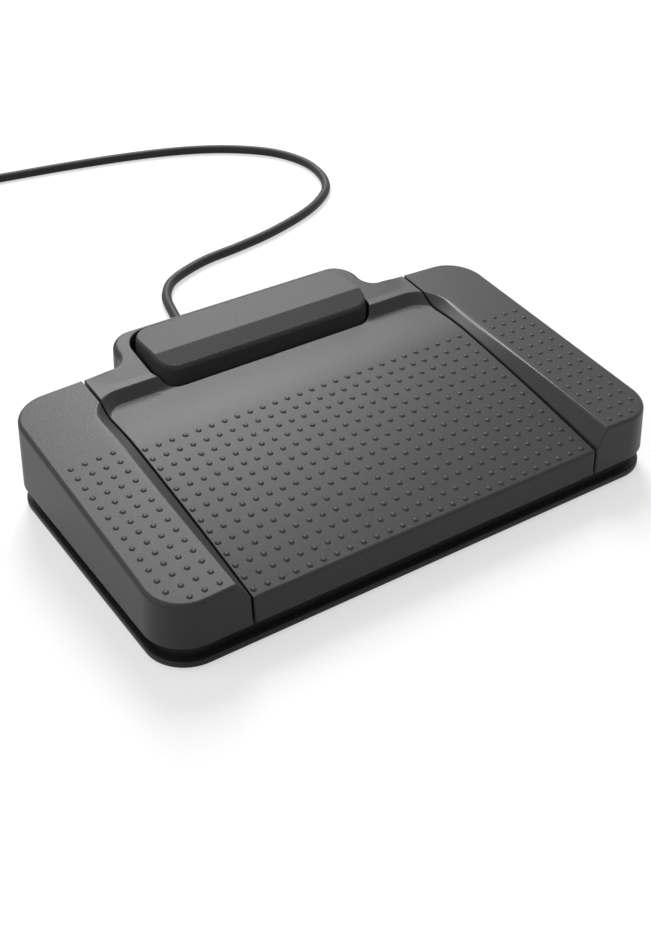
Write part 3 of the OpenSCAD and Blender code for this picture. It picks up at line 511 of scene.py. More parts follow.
def moulding(name, outlines, top, xs, ys, thick, foot_at=None, crisp=0.0):
    """Closed thin-walled moulding from outlines, the height of its top and its cut lines, as an object."""
    rings = [[Vector(top_edge_point(s, top, crisp)) for s in samples] for samples in outlines]
    plan = cut_plan(rings, xs, ys)
    plan.verts.index_update()
    verts = [(v.co.x, v.co.y, top(v.co.x, v.co.y)) for v in plan.verts]
    count = len(verts)
    verts += [(x, y, z - thick) for x, y, z in verts]
    faces = [[v.index for v in f.verts] for f in plan.faces]
    faces += [[v.index + count for v in reversed(f.verts)] for f in plan.faces]
    for loop in boundary_loops(plan):
        columns = []
        for vert in loop:
            place = Vector(vert.co.xy)
            near = [sample_at(place, samples, ring) for samples, ring in zip(outlines, rings)]
            found = min(near, key=lambda pair: pair[0])[1]
            if foot_at is not None:
                found[6] = foot_at(found[0], found[1], found[6])
            rows = wall_rows(found, top, crisp)
            columns.append([vert.index] + [len(verts) + k for k in range(len(rows))] + [vert.index + count])
            verts += rows
        for a, b in zip(columns, columns[1:] + columns[:1]):
            for k in range(len(a) - 1):
                faces.append([a[k], a[k + 1], b[k + 1], b[k]])
    plan.free()
    return mesh_object(name, verts, faces)


# Objects

SAME_POINT, SAME_CAD_POINT = 1e-7, 2e-6


def new_object(name, data):
    """Object in the scene."""
    obj = bpy.data.objects.new(name, data)
    bpy.context.scene.collection.objects.link(obj)
    return obj


def mesh_object(name, verts, faces):
    """Object of a mesh given in millimetres, with its faces outward."""
    mesh = bpy.data.meshes.new(name)
    mesh.from_pydata([(x * MM, y * MM, z * MM) for x, y, z in verts], [], faces)
    bm = bmesh.new()
    bm.from_mesh(mesh)
    bmesh.ops.remove_doubles(bm, verts=bm.verts, dist=SAME_POINT)
    bmesh.ops.recalc_face_normals(bm, faces=bm.faces)
    for face in bm.faces:
        face.smooth = True
    bm.to_mesh(mesh)
    bm.free()
    mesh.set_sharp_from_angle(angle=SHARP_ANGLE)
    return new_object(name, mesh)


def ring_faces(rings, sides, closed=False):
    """Faces between rings of points: closed joins the last ring to the first, else both ends are capped."""
    faces = []
    count = rings * sides
    for i in range(rings if closed else rings - 1):
        for k in range(sides):
            a, b = i * sides + k, i * sides + (k + 1) % sides
            faces.append([a, b, (b + sides) % count, (a + sides) % count])
    if not closed:
        faces.append(list(range(sides)))
        faces.append([count - 1 - k for k in range(sides)])
    return faces


def cad_copy(node):
    """Separate object with a merged copy of a CAD node's mesh."""
    mesh = frame["nodes"][node].data.copy()
    bm = bmesh.new()
    bm.from_mesh(mesh)
    bmesh.ops.remove_doubles(bm, verts=bm.verts, dist=SAME_CAD_POINT)
    bm.to_mesh(mesh)
    bm.free()
    mesh.materials.clear()
    return new_object(node + "_copy", mesh)


def add_posts(obj, node, x0, x1, ys, top, depth):
    """Joins to a moulding the posts that hang inside it, taken from its CAD node at a depth below its top."""
    verts = []
    for x in (x0, x1):
        verts += [(x, y, POSTS_Z0) for y in ys] + [(x, y, top(x, y) - depth) for y in ys]
    n = len(ys)
    faces = []
    for k in range(n - 1):
        faces.append([k, k + 1, 2 * n + k + 1, 2 * n + k])
        faces.append([n + k, 3 * n + k, 3 * n + k + 1, n + k + 1])
        faces.append([k, n + k, n + k + 1, k + 1])
        faces.append([2 * n + k, 2 * n + k + 1, 3 * n + k + 1, 3 * n + k])
    faces += [[0, 2 * n, 3 * n, n], [n - 1, 2 * n - 1, 4 * n - 1, 3 * n - 1]]
    room = mesh_object("room", verts, faces)
    posts = cad_copy(node)
    cut = posts.modifiers.new("Inside", "BOOLEAN")
    cut.operation, cut.solver, cut.object = "INTERSECT", "EXACT", room
    inside = bpy.data.meshes.new_from_object(posts.evaluated_get(bpy.context.evaluated_depsgraph_get()))
    if not inside.polygons:
        raise RuntimeError(f"no posts were found inside {node}")
    bm = bmesh.new()
    bm.from_mesh(inside)
    for face in bm.faces:
        face.smooth = False
    bm.from_mesh(obj.data)
    bm.to_mesh(obj.data)
    bm.free()
    obj.data.set_sharp_from_angle(angle=SHARP_ANGLE)
    for spare in (posts, room):
        bpy.data.objects.remove(spare)


CREASE_STEP, CREASE_BEND, CREASE_OFF = 0.1, 0.004, 0.02
CREASE_START, CREASE_FULL = math.radians(12), math.radians(16)


def mark_creases(obj, top, plane):
    """Notes how far each vertex lies on the turned part of a convex crease, where the moulding is smooth."""
    marks = obj.data.attributes.new("polish", "FLOAT", "POINT")
    for vert, mark in zip(obj.data.vertices, marks.data):
        x, y, z = (c / MM for c in vert.co)
        height = top(x, y)
        if abs(z - height) > CREASE_OFF:
            continue
        across = top(x + CREASE_STEP, y) + top(x - CREASE_STEP, y)
        along = top(x, y + CREASE_STEP) + top(x, y - CREASE_STEP)
        bend = unit((4 * height - across - along) / CREASE_BEND)
        if bend > 0:
            turned = surface_normal(top, x, y, CREASE_STEP).angle(surface_normal(plane, x, y))
            mark.value = bend * unit((turned - CREASE_START) / (CREASE_FULL - CREASE_START))


# Materials

PLASTIC_SPECULAR, GRAIN_STRENGTH = 0.22, 0.7
SLOW_SCALE, FINE_SHARE, ROUGH_SPREAD = 38.0, 0.8, 0.06
CREASE_ROUGH, CREASE_SPECULAR = 0.2, 0.38
LINE_SHADE, LINE_SMOOTHER, LINE_ROUGHER = 0.86, 0.08, 0.1
WHITE = (1, 1, 1, 1)


def add_node(tree, kind, **values):
    """New node with its sockets and properties set by name."""
    node = tree.nodes.new(kind)
    for key, value in values.items():
        if hasattr(node, key):
            setattr(node, key, value)
        else:
            node.inputs[key.replace("_", " ")].default_value = value
    return node


def empty_tree(owner):
    """Node tree of a material or a world, with nothing in it."""
    owner.use_nodes = True
    owner.node_tree.nodes.clear()
    return owner.node_tree


def new_material(name, roughness, metallic=0.0, specular=0.5):
    """Material with one Principled shader: the material, its tree and the shader."""
    material = bpy.data.materials.new(name)
    tree = empty_tree(material)
    shader = add_node(tree, "ShaderNodeBsdfPrincipled", Roughness=roughness, Metallic=metallic,
                      Specular_IOR_Level=specular)
    output = add_node(tree, "ShaderNodeOutputMaterial")
    tree.links.new(shader.outputs["BSDF"], output.inputs["Surface"])
    return material, tree, shader


def object_place(tree):
    """Socket of the place on the object."""
    return add_node(tree, "ShaderNodeTexCoord").outputs["Object"]


def shade_mix(tree, factor, dark, light):
    """Colour between two shades by a factor socket."""
    ramp = add_node(tree, "ShaderNodeValToRGB")
    ramp.color_ramp.elements[0].color = (*dark, 1)
    ramp.color_ramp.elements[1].color = (*light, 1)
    tree.links.new(factor, ramp.inputs["Fac"])
    return ramp.outputs["Color"]


def value_range(tree, factor, low, high):
    """Value from low to high by a factor socket."""
    mapped = add_node(tree, "ShaderNodeMapRange", To_Min=low, To_Max=high)
    tree.links.new(factor, mapped.inputs["Value"])
    return mapped.outputs["Result"]


def add_bump(tree, shader, height, strength, distance):
    """Bump of a shader by a height socket."""
    bump = add_node(tree, "ShaderNodeBump", Strength=strength, Distance=distance)
    tree.links.new(height, bump.inputs["Height"])
    tree.links.new(bump.outputs["Normal"], shader.inputs["Normal"])
    return bump


def grained_plastic(name, colour, roughness, grain=1500.0, depth=0.00009, contrast=0.12):
    """Moulded plastic with a fine spark-eroded grain, slow unevenness and smooth marked creases."""
    material, tree, shader = new_material(name, roughness, specular=PLASTIC_SPECULAR)
    place = object_place(tree)
    fine = add_node(tree, "ShaderNodeTexNoise", Scale=grain, Detail=3.0, Roughness=0.6)
    slow = add_node(tree, "ShaderNodeTexNoise", Scale=SLOW_SCALE, Detail=2.0)
    for texture in (fine, slow):
        tree.links.new(place, texture.inputs["Vector"])
    blend = add_node(tree, "ShaderNodeMath", operation="MULTIPLY_ADD")
    blend.inputs[1].default_value = FINE_SHARE
    tree.links.new(fine.outputs["Fac"], blend.inputs[0])
    tree.links.new(value_range(tree, slow.outputs["Fac"], 0.0, 1 - FINE_SHARE), blend.inputs[2])
    dark = [c * (1 - contrast) for c in colour]
    light = [min(c * (1 + contrast), 1) for c in colour]
    tree.links.new(shade_mix(tree, blend.outputs["Value"], dark, light), shader.inputs["Base Color"])
    rough = value_range(tree, fine.outputs["Fac"], roughness - ROUGH_SPREAD, roughness + ROUGH_SPREAD)
    tree.links.new(rough, shader.inputs["Roughness"])
    bump = add_bump(tree, shader, fine.outputs["Fac"], GRAIN_STRENGTH, depth)
    shine = add_node(tree, "ShaderNodeAttribute", attribute_name="polish").outputs["Fac"]
    for socket, change in (
        (shader.inputs["Roughness"], CREASE_ROUGH - roughness),
        (shader.inputs["Specular IOR Level"], CREASE_SPECULAR - PLASTIC_SPECULAR),
        (bump.inputs["Strength"], -GRAIN_STRENGTH),
    ):
        changed = add_node(tree, "ShaderNodeMath", operation="MULTIPLY_ADD")
        changed.inputs[1].default_value = change
        changed.inputs[2].default_value = socket.default_value
        tree.links.new(shine, changed.inputs[0])
        if socket.is_linked:
            tree.links.new(socket.links[0].from_socket, changed.inputs[2])
        tree.links.new(changed.outputs["Value"], socket)
    return material


def drawn_metal(name, colour, roughness, direction=(40.0, 900.0, 900.0)):
    """Metal with fine drawn lines along one axis."""
    material, tree, shader = new_material(name, roughness, 1.0)
    mapping = add_node(tree, "ShaderNodeMapping", Scale=direction)
    lines = add_node(tree, "ShaderNodeTexNoise", Scale=3.0, Detail=3.0)
    tree.links.new(object_place(tree), mapping.inputs["Vector"])
    tree.links.new(mapping.outputs["Vector"], lines.inputs["Vector"])
    dark = [c * LINE_SHADE for c in colour]
    tree.links.new(shade_mix(tree, lines.outputs["Fac"], dark, colour), shader.inputs["Base Color"])
    rough = value_range(tree, lines.outputs["Fac"], roughness - LINE_SMOOTHER, roughness + LINE_ROUGHER)
    tree.links.new(rough, shader.inputs["Roughness"])
    add_bump(tree, shader, lines.outputs["Fac"], strength=0.25, distance=0.00004)
    return material


def board_lacquer(name):
    """Green lacquer over copper tracks on the circuit board."""
    material, tree, shader = new_material(name, 0.35)
    tracks = add_node(tree, "ShaderNodeTexBrick", Scale=160.0, Color1=(0.012, 0.09, 0.045, 1),
                      Color2=(0.016, 0.12, 0.06, 1), Mortar=(0.03, 0.2, 0.09, 1), Mortar_Size=0.03)
    tree.links.new(object_place(tree), tracks.inputs["Vector"])
    tree.links.new(tracks.outputs["Color"], shader.inputs["Base Color"])
    add_bump(tree, shader, tracks.outputs["Fac"], strength=0.3, distance=0.00005)
    return material


def finish(slot):
    """Finish of a material slot, made on first use. The frame has a plain material of the slot's own name."""
    name = slot + "_finish"
    found = bpy.data.materials.get(name)
    if found is not None:
        return found
    colours = bpy.context.scene.pedal_finishes
    # Maker, colour and roughness, then a plastic's grain, depth and contrast or a metal's line direction
    makers = {
        "pedal_plastic": (grained_plastic, colours.pedal, 0.42),
        "bar_plastic": (grained_plastic, colours.bar, 0.5),
        "base_plastic": (grained_plastic, colours.base, 0.42, 900.0, 0.00003),
        "foot_rubber": (grained_plastic, (0.02, 0.02, 0.02), 0.8, 700.0, 0.00008, 0.2),
        "steel": (drawn_metal, (0.55, 0.55, 0.56), 0.3),
        "magnet_nickel": (drawn_metal, (0.6, 0.59, 0.56), 0.22, (500.0, 500.0, 500.0)),
        "board": (board_lacquer,),
        "chip": (grained_plastic, (0.018, 0.018, 0.019), 0.55, 2500.0, 0.00003, 0.2),
        "connector": (grained_plastic, (0.62, 0.59, 0.52), 0.4, 800.0, 0.00002, 0.06),
        "cord_sheath": (grained_plastic, colours.cord, 0.5, 1100.0, 0.00003, 0.14),
        "plug_plastic": (grained_plastic, (0.03, 0.03, 0.032), 0.5, 1300.0, 0.00005, 0.15),
        "plug_metal": (drawn_metal, (0.68, 0.68, 0.7), 0.25, (60.0, 700.0, 700.0)),
    }
    maker, *values = makers[slot]
    return maker(name, *values)


def dress(obj, slot, body, *nodes):
    """Gives a new piece its finish and its body, in the place of CAD nodes."""
    obj.data.materials.clear()
    obj.data.materials.append(finish(slot))
    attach(obj, body)
    if nodes:
        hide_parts(*nodes)


# Pedals and bar

# Cut lines of the tops, closer where a top bends, and where the posts hang
SIDE_XS = cuts((76.2, 79.8, 0.3), (80.0, 81.0, 0.1), (82, 106, 4))
SIDE_YS = cuts((-70, 22, 4), (24, 40.6, 0.3), (42, 52, 3))
SIDE_POSTS_X, SIDE_POSTS_Y = (81.5, 101.5), cuts((-66, 46, 8))
CENTRE_HALF_XS = cuts((4, 44, 5), (45.5, 61, 1.2), (62, 74.2, 0.4))
CENTRE_YS = cuts((-70, 4, 4), (6, 24, 1.5), (24.6, 36.2, 0.4), (36.5, 41.5, 0.2), (42, 46, 0.5), (48, 71, 3))
NOTCH_XS = [k * 0.4 - 3.2 for k in range(17)]
CENTRE_POSTS_X, CENTRE_POSTS_Y = (-72.5, 72.5), cuts((-66, 8, 6), (10, 24, 2)) + [36, 46]
BAR_XS = cuts((-45, 45, 6))
BAR_YS = cuts((39, 44.5, 1), (45.1, 46.3, 0.1), (47, 64, 3))
BAR_POSTS_X, BAR_POSTS_Y = (-46, 46), [39.2, 45.7, 64.2]


def side_outline():
    """Outline of the right pedal."""
    front, outer, rear, seam = rounds()
    return outline([
        (SIDE_X0, FRONT_Y, SEAM_FRONT_R, front, 1, SKIRT_Z),
        (SIDE_X0 + SEAM_EDGE_L, FRONT_Y, 0, front, 1, SKIRT_Z),
        (HALF_W, FRONT_Y, CORNER_R, outer, 1, SKIRT_Z),
        (HALF_W, REAR_Y, CORNER_R, rear, 1, SKIRT_Z),
        (SIDE_X0 + SEAM_EDGE_L, REAR_Y, 0, rear, 1, SKIRT_Z),
        (SIDE_X0, REAR_Y, SEAM_REAR_R, seam, 0, SKIRT_Z),
        (SIDE_X0, REAR_Y - SEAM_REAR_L, 0, seam, 0, SEAM_WALL_Z),
        (SIDE_X0, PIVOT_Y + ROD_ROOM, 0, seam, 0, OVER_ROD_Z),
        (SIDE_X0, PIVOT_Y - ROD_ROOM, 0, seam, 0, SEAM_WALL_Z),
        (SIDE_X0, FRONT_Y + SEAM_FRONT_L, 0, seam, 0, SKIRT_Z),
    ])


def centre_outline():
    """Outline of the centre pedal with its collar."""
    front, outer, rear, seam = rounds()
    right = [
        (CENTRE_HX - SEAM_EDGE_L, FRONT_Y, 0, front, 1, SKIRT_Z),
        (CENTRE_HX, FRONT_Y, SEAM_FRONT_R, seam, 0, SKIRT_Z),
        (CENTRE_HX, FRONT_Y + SEAM_FRONT_L, 0, seam, 0, SEAM_WALL_Z),
        (CENTRE_HX, PIVOT_Y - ROD_ROOM, 0, seam, 0, OVER_ROD_Z),
        (CENTRE_HX, PIVOT_Y + ROD_ROOM, 0, seam, 0, SEAM_WALL_Z),
        (CENTRE_HX, REAR_Y - SEAM_REAR_L, 0, seam, 0, SKIRT_Z),
        (CENTRE_HX, REAR_Y, SEAM_REAR_R, rear, 1, SKIRT_Z),
        (CENTRE_HX - SEAM_EDGE_L, REAR_Y, 0, rear, 1, SKIRT_Z),
        (SKIN_COLLAR_HW, REAR_Y, HOLLOW_R, COLLAR_ROUND, 1, SKIRT_Z),
        (SKIN_COLLAR_HW, COLLAR_Y, COLLAR_R, outer, 1, SKIRT_Z),
    ]
    left = []
    for i in range(len(right) - 1, -1, -1):
        x, y, radius = right[i][:3]
        edge = right[i - 1][3:] if i > 0 else (front, 1, SKIRT_Z)
        left.append((-x, y, radius, *edge))
    return outline(right + left)


def opening_outline():
    """Outline of the opening round the bar, clockwise, so that its wall faces inward."""
    corners = ((OPEN_HX, OPEN_Y0), (-OPEN_HX, OPEN_Y0), (-OPEN_HX, OPEN_Y1), (OPEN_HX, OPEN_Y1))
    return outline([(x, y, OPEN_R, OPEN_ROUND, 0, OPEN_RIB_Z) for x, y in corners])


def bar_outline():
    """Outline of the bar, whose ends lean."""
    half = BAR_HX + BAR_END_LEAN * DRAFT * (BAR_H - SKIRT_Z) - BAR_END_IN
    lean = BAR_END_LEAN
    corners = ((-half, BAR_Y0, 0), (half, BAR_Y0, lean), (half, BAR_Y1, 0), (-half, BAR_Y1, lean))
    return outline([(x, y, BAR_R, BAR_ROUND, after, BAR_SKIRT_Z) for x, y, after in corners])


def over_boot(x, y, foot):
    """Foot of the centre pedal's wall, raised over the strain relief."""
    if y < COLLAR_Y - NOTCH_DEEP or abs(x) > NOTCH_R:
        return foot
    return max(foot, EXIT_Z + math.sqrt(NOTCH_R**2 - x * x))


class PEDAL_OT_side_pedals(bpy.types.Operator):
    """Make the left and right pedals"""

    bl_idname = "pedal_switch.side_pedals"
    bl_label = "Side Pedals"

    def execute(self, context):
        right = moulding("right_pedal_skin", [side_outline()], side_top, SIDE_XS, SIDE_YS, PEDAL_THICK)
        add_posts(right, "right_pedal", *SIDE_POSTS_X, SIDE_POSTS_Y, side_plane, PEDAL_CEILING)
        mark_creases(right, side_top, side_plane)
        left = new_object("left_pedal_skin", right.data.copy())
        left.data.name = left.name
        bm = bmesh.new()
        bm.from_mesh(left.data)
        for vert in bm.verts:
            vert.co.x = -vert.co.x
        bmesh.ops.reverse_faces(bm, faces=bm.faces)
        bm.to_mesh(left.data)
        bm.free()
        dress(right, "pedal_plastic", "right_rocker", "right_pedal")
        dress(left, "pedal_plastic", "left_rocker", "left_pedal")
        return {"FINISHED"}


class PEDAL_OT_centre_pedal(bpy.types.Operator):
    """Make the centre pedal with its recess and collar"""

    bl_idname = "pedal_switch.centre_pedal"
    bl_label = "Centre Pedal"

    def execute(self, context):
        xs = sorted({-x for x in CENTRE_HALF_XS} | {0} | set(CENTRE_HALF_XS) | set(NOTCH_XS))
        outlines = [centre_outline(), opening_outline()]
        obj = moulding("centre_pedal_skin", outlines, centre_top, xs, CENTRE_YS, PEDAL_THICK, over_boot)
        add_posts(obj, "centre_pedal", *CENTRE_POSTS_X, CENTRE_POSTS_Y, foot_surface, PEDAL_CEILING)
        dress(obj, "pedal_plastic", "centre_rocker", "centre_pedal")
        return {"FINISHED"}


class PEDAL_OT_rear_bar(bpy.types.Operator):
    """Make the rear bar"""

    bl_idname = "pedal_switch.rear_bar"
    bl_label = "Rear Bar"

    def execute(self, context):
        obj = moulding("rear_bar_skin", [bar_outline()], bar_top, BAR_XS, BAR_YS, BAR_THICK, crisp=BAR_CRISP)
        add_posts(obj, "rear_bar", *BAR_POSTS_X, BAR_POSTS_Y, bar_top, BAR_CEILING)
        dress(obj, "bar_plastic", "bar_rocker", "rear_bar")
        self.clear_key(obj)
        return {"FINISHED"}

    def clear_key(self, obj):
        """Lets the key light reach the pedal in front of the bar."""
        passed = bpy.data.collections.new("passed_by_key")
        bpy.data.objects["key"].light_linking.blocker_collection = passed
        passed.objects.link(obj)
        passed.collection_objects[0].light_linking.link_state = "EXCLUDE"


# Grip dots

DOT_SINK, DOT_FLAT, DOT_SIDES, DOT_STEPS = 0.06, 0.4, 12, 4
DOT_ROWS, CENTRE_COLUMNS, SIDE_COLUMNS = 14, 27, 4
CENTRE_DOT_X, CENTRE_DOT_Y = -1.23, 6.51
SIDE_DOT_Y, SIDE_ROW_X = 8.25, 90


def dot_tree(material):
    """Geometry nodes that set a low bump with a flat top on every point, turned to the surface."""
    tree = bpy.data.node_groups.new("Grip dots", "GeometryNodeTree")
    for name, way, kind in (
        ("Geometry", "INPUT", "Geometry"), ("Dot diameter", "INPUT", "Float"),
        ("Dot height", "INPUT", "Float"), ("Geometry", "OUTPUT", "Geometry"),
    ):
        tree.interface.new_socket(name, in_out=way, socket_type="NodeSocket" + kind)
    start = add_node(tree, "NodeGroupInput")
    cone = add_node(tree, "GeometryNodeMeshCone", Vertices=DOT_SIDES, Side_Segments=DOT_STEPS, Radius_Top=0.0,
                    Radius_Bottom=0.5, Depth=1.0)
    split = add_node(tree, "ShaderNodeSeparateXYZ")
    half_turn = add_node(tree, "ShaderNodeMapRange", From_Max=1 - DOT_FLAT, To_Max=math.pi)
    wave = add_node(tree, "ShaderNodeMath", operation="COSINE")
    rise = add_node(tree, "ShaderNodeMath", operation="MULTIPLY_ADD")
    rise.inputs[1].default_value = -0.5
    rise.inputs[2].default_value = 0.5 - DOT_SINK
    bell_place = add_node(tree, "ShaderNodeCombineXYZ")
    bell = add_node(tree, "GeometryNodeSetPosition")
    facing = add_node(tree, "GeometryNodeInputNamedAttribute", data_type="FLOAT_VECTOR", Name="facing")
    turn = add_node(tree, "FunctionNodeAlignRotationToVector", axis="Z")
    scale = add_node(tree, "ShaderNodeCombineXYZ")
    instances = add_node(tree, "GeometryNodeInstanceOnPoints")
    real = add_node(tree, "GeometryNodeRealizeInstances")
    smooth = add_node(tree, "GeometryNodeSetShadeSmooth")
    paint = add_node(tree, "GeometryNodeSetMaterial", Material=material)
    end = add_node(tree, "NodeGroupOutput")
    for a, out, b, into in (
        (add_node(tree, "GeometryNodeInputPosition"), "Position", split, "Vector"),
        (split, "Z", half_turn, 0), (half_turn, "Result", wave, 0), (wave, "Value", rise, 0),
        (split, "X", bell_place, "X"), (split, "Y", bell_place, "Y"), (rise, "Value", bell_place, "Z"),
        (cone, "Mesh", bell, "Geometry"), (bell_place, "Vector", bell, "Position"),
        (start, "Geometry", instances, "Points"), (bell, "Geometry", instances, "Instance"),
        (facing, "Attribute", turn, "Vector"), (turn, "Rotation", instances, "Rotation"),
        (start, "Dot diameter", scale, "X"), (start, "Dot diameter", scale, "Y"),
        (start, "Dot height", scale, "Z"), (scale, "Vector", instances, "Scale"),
        (instances, "Instances", real, "Geometry"), (real, "Geometry", smooth, "Geometry"),
        (smooth, "Geometry", paint, "Geometry"), (paint, "Geometry", end, "Geometry"),
    ):
        tree.links.new(a.outputs[out], b.inputs[into])
    return tree


def dot_rows(y, top, x):
    """Depths of the rows of dots, evenly spaced along the slope."""
    pitch = sizes().dot_row_pitch / MM
    rows = [y]
    while len(rows) < DOT_ROWS:
        rise = (top(x, rows[-1]) - top(x, rows[-1] - pitch)) / pitch
        rows.append(rows[-1] - pitch / math.hypot(1, rise))
    return rows


def dot_points():
    """Places of the dots on each pedal. The side pedals' outer front corner has no room for its dot."""
    pitch = sizes().dot_pitch / MM
    places = {"left_rocker": [], "centre_rocker": [], "right_rocker": []}
    for y in dot_rows(CENTRE_DOT_Y, foot_surface, 0):
        for column in range(CENTRE_COLUMNS):
            x = (column - CENTRE_COLUMNS // 2) * pitch + CENTRE_DOT_X
            places["centre_rocker"].append(((x, y, centre_floor(y)), surface_normal(foot_surface, x, y)))
    for number, y in enumerate(dot_rows(SIDE_DOT_Y, side_plane, SIDE_ROW_X)):
        for column in range(SIDE_COLUMNS):
            if column == SIDE_COLUMNS - 1 and number == DOT_ROWS - 1:
                continue
            x = SIDE_REF_X + column * pitch
            normal = surface_normal(side_plane, x, y)
            z = side_plane(x, y)
            places["right_rocker"].append(((x, y, z), normal))
            places["left_rocker"].append(((-x, y, z), Vector((-normal.x, normal.y, normal.z))))
    return places


class PEDAL_OT_grip_dots(bpy.types.Operator):
    """Set the grip dots on the three pedals"""

    bl_idname = "pedal_switch.grip_dots"
    bl_label = "Grip Dots"

    def execute(self, context):
        s = sizes()
        tree = dot_tree(finish("pedal_plastic"))
        sockets = {item.name: item.identifier for item in tree.interface.items_tree if item.in_out == "INPUT"}
        for body, points in dot_points().items():
            name = body.replace("rocker", "dots")
            mesh = bpy.data.meshes.new(name + "_places")
            mesh.from_pydata([(x * MM, y * MM, z * MM) for (x, y, z), _ in points], [], [])
            facing = mesh.attributes.new("facing", "FLOAT_VECTOR", "POINT")
            facing.data.foreach_set("vector", [c for _, normal in points for c in normal])
            obj = new_object(name, mesh)
            nodes = obj.modifiers.new("Dots", "NODES")
            nodes.node_group = tree
            nodes[sockets["Dot diameter"]] = s.dot_diameter
            nodes[sockets["Dot height"]] = s.dot_height
            made = bpy.data.meshes.new_from_object(obj.evaluated_get(context.evaluated_depsgraph_get()))
            obj.modifiers.clear()
            obj.data = made
            made.name = name
            if not made.polygons:
                raise RuntimeError(f"no dots were made on {body}")
            dress(obj, "pedal_plastic", body)
        return {"FINISHED"}


# Base and works

# The base's lip in millimetres: heights of its edges, their rounding, and the feet, which stay sharp
LIP_ZS, LIP_ROUND, LIP_IN, LIP_NEAR = (4.0, 1.5), 0.6, 0.3, 0.8
LIP_SHARP, MERGE_ANGLE = math.radians(32), math.radians(0.5)
FOOT_SPOTS, FOOT_CLEAR = ((92, -57), (-92, -57), (77, 38), (-77, 38), (42, 60), (-42, 60)), 8.4
LEVEL_NORMAL, TINY = 0.9, 0.01


class PEDAL_OT_base(bpy.types.Operator):
    """Make the base with its softened lip"""

    bl_idname = "pedal_switch.base"
    bl_label = "Base"

    def execute(self, context):
        obj = cad_copy("base_tray")
        obj.name = obj.data.name = "base_skin"
        bm = bmesh.new()
        bm.from_mesh(obj.data)
        bmesh.ops.dissolve_limit(bm, angle_limit=MERGE_ANGLE, verts=bm.verts, edges=bm.edges)
        lip = [edge for edge in bm.edges if on_lip(edge)]
        if not lip:
            raise RuntimeError("the edges of the base's lip were not found")
        bmesh.ops.bevel(bm, geom=lip, offset=LIP_ROUND * MM, offset_type="OFFSET", segments=3, profile=0.5,
                        affect="EDGES")
        for face in bm.faces:
            face.smooth = True
        bm.to_mesh(obj.data)
        bm.free()
        obj.data.set_sharp_from_angle(angle=LIP_SHARP)
        dress(obj, "base_plastic", "base", "base_tray")
        return {"FINISHED"}


def on_lip(edge):
    """True for an edge at the lip's heights, on the body's outline or behind it, away from the feet."""
    flat = [abs(face.normal.z) > LEVEL_NORMAL for face in edge.link_faces]
    if len(flat) != 2 or flat.count(True) != 1:
        return False
    if any(min(abs(vert.co.z / MM - z) for z in LIP_ZS) > TINY for vert in edge.verts):
        return False
    middle = (edge.verts[0].co + edge.verts[1].co) / (2 * MM)
    if any(math.hypot(middle.x - x, middle.y - y) < FOOT_CLEAR for x, y in FOOT_SPOTS):
        return False
    probe = middle + edge.link_faces[flat.index(False)].normal
    past_side = abs(probe.x) > HALF_W - LIP_IN - TINY
    past_end = not FRONT_Y + LIP_IN + TINY < probe.y < REAR_Y - LIP_IN - TINY
    corner_x = abs(middle.x) - (HALF_W - CORNER_R)
    corner_y = max(FRONT_Y + CORNER_R - middle.y, middle.y - (REAR_Y - CORNER_R))
    rounded = min(corner_x, corner_y) > 0 and math.hypot(corner_x, corner_y) > CORNER_R - LIP_NEAR
    return past_side or past_end or rounded


def tube_mesh(path, radius, sides):
    """Vertices and faces of a round tube along a path, in millimetres."""
    points = [Vector(p) for p in path]
    verts = []
    up = Vector((0, 0, 1))
    for i, point in enumerate(points):
        along = (points[min(i + 1, len(points) - 1)] - points[max(i - 1, 0)]).normalized()
        side = along.cross(up).normalized()
        over = side.cross(along)
        for k in range(sides):
            angle = 2 * math.pi * k / sides
            verts.append(tuple(point + (side * math.cos(angle) + over * math.sin(angle)) * radius))
    return verts, ring_faces(len(points), sides)


# Node, places, foot, head, turns, joint, and the share of the height that is left at the joint's limit
SPRINGS = (
    ("left_spring", [(-91, -45)], 5.0, 21.59, 5, "left_press", 0.745),
    ("right_spring", [(91, -45)], 5.0, 21.59, 5, "right_press", 0.745),
    ("centre_springs", [(-40, -45), (40, -45)], 5.0, 21.59, 5, "centre_press", 0.745),
    ("bar_spring", [(0, 45.2)], 26.0, 39.5, 4, "bar_press", 0.92),
)
WIRE_STEPS, WIRE_SIDES, SPRING_END, SPRING_EVEN = 24, 10, 0.06, 0.25


class PEDAL_OT_springs(bpy.types.Operator):
    """Wind the return springs"""

    bl_idname = "pedal_switch.springs"
    bl_label = "Springs"

    radius: length("Spring radius", "Radius to the middle of the wire", 0.0044)
    wire: length("Wire radius", "Radius of the spring wire", 0.00055)

    def execute(self, context):
        for spring in SPRINGS:
            self.wind(*spring)
        return {"FINISHED"}

    def wind(self, node, spots, z0, z1, turns, joint, keep):
        """One node's springs as a mesh. Their end turns lie close."""
        radius, wire = self.radius / MM, self.wire / MM
        verts, faces = [], []
        for x, y in spots:
            path = []
            for i in range(turns * WIRE_STEPS + 1):
                share, angle = i / (turns * WIRE_STEPS), math.radians(360 / WIRE_STEPS * i)
                open_share = unit((share - SPRING_END) / (1 - 2 * SPRING_END))
                rise = SPRING_EVEN * share + (1 - SPRING_EVEN) * open_share
                z = z0 + wire + (z1 - z0 - 2 * wire) * rise
                path.append((x + radius * math.cos(angle), y + radius * math.sin(angle), z))
            more, sides = tube_mesh(path, wire, WIRE_SIDES)
            faces += [[k + len(verts) for k in face] for face in sides]
            verts += more
        obj = mesh_object(node + "_wire", verts, faces)
        dress(obj, "steel", "base", node)
        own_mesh(obj)


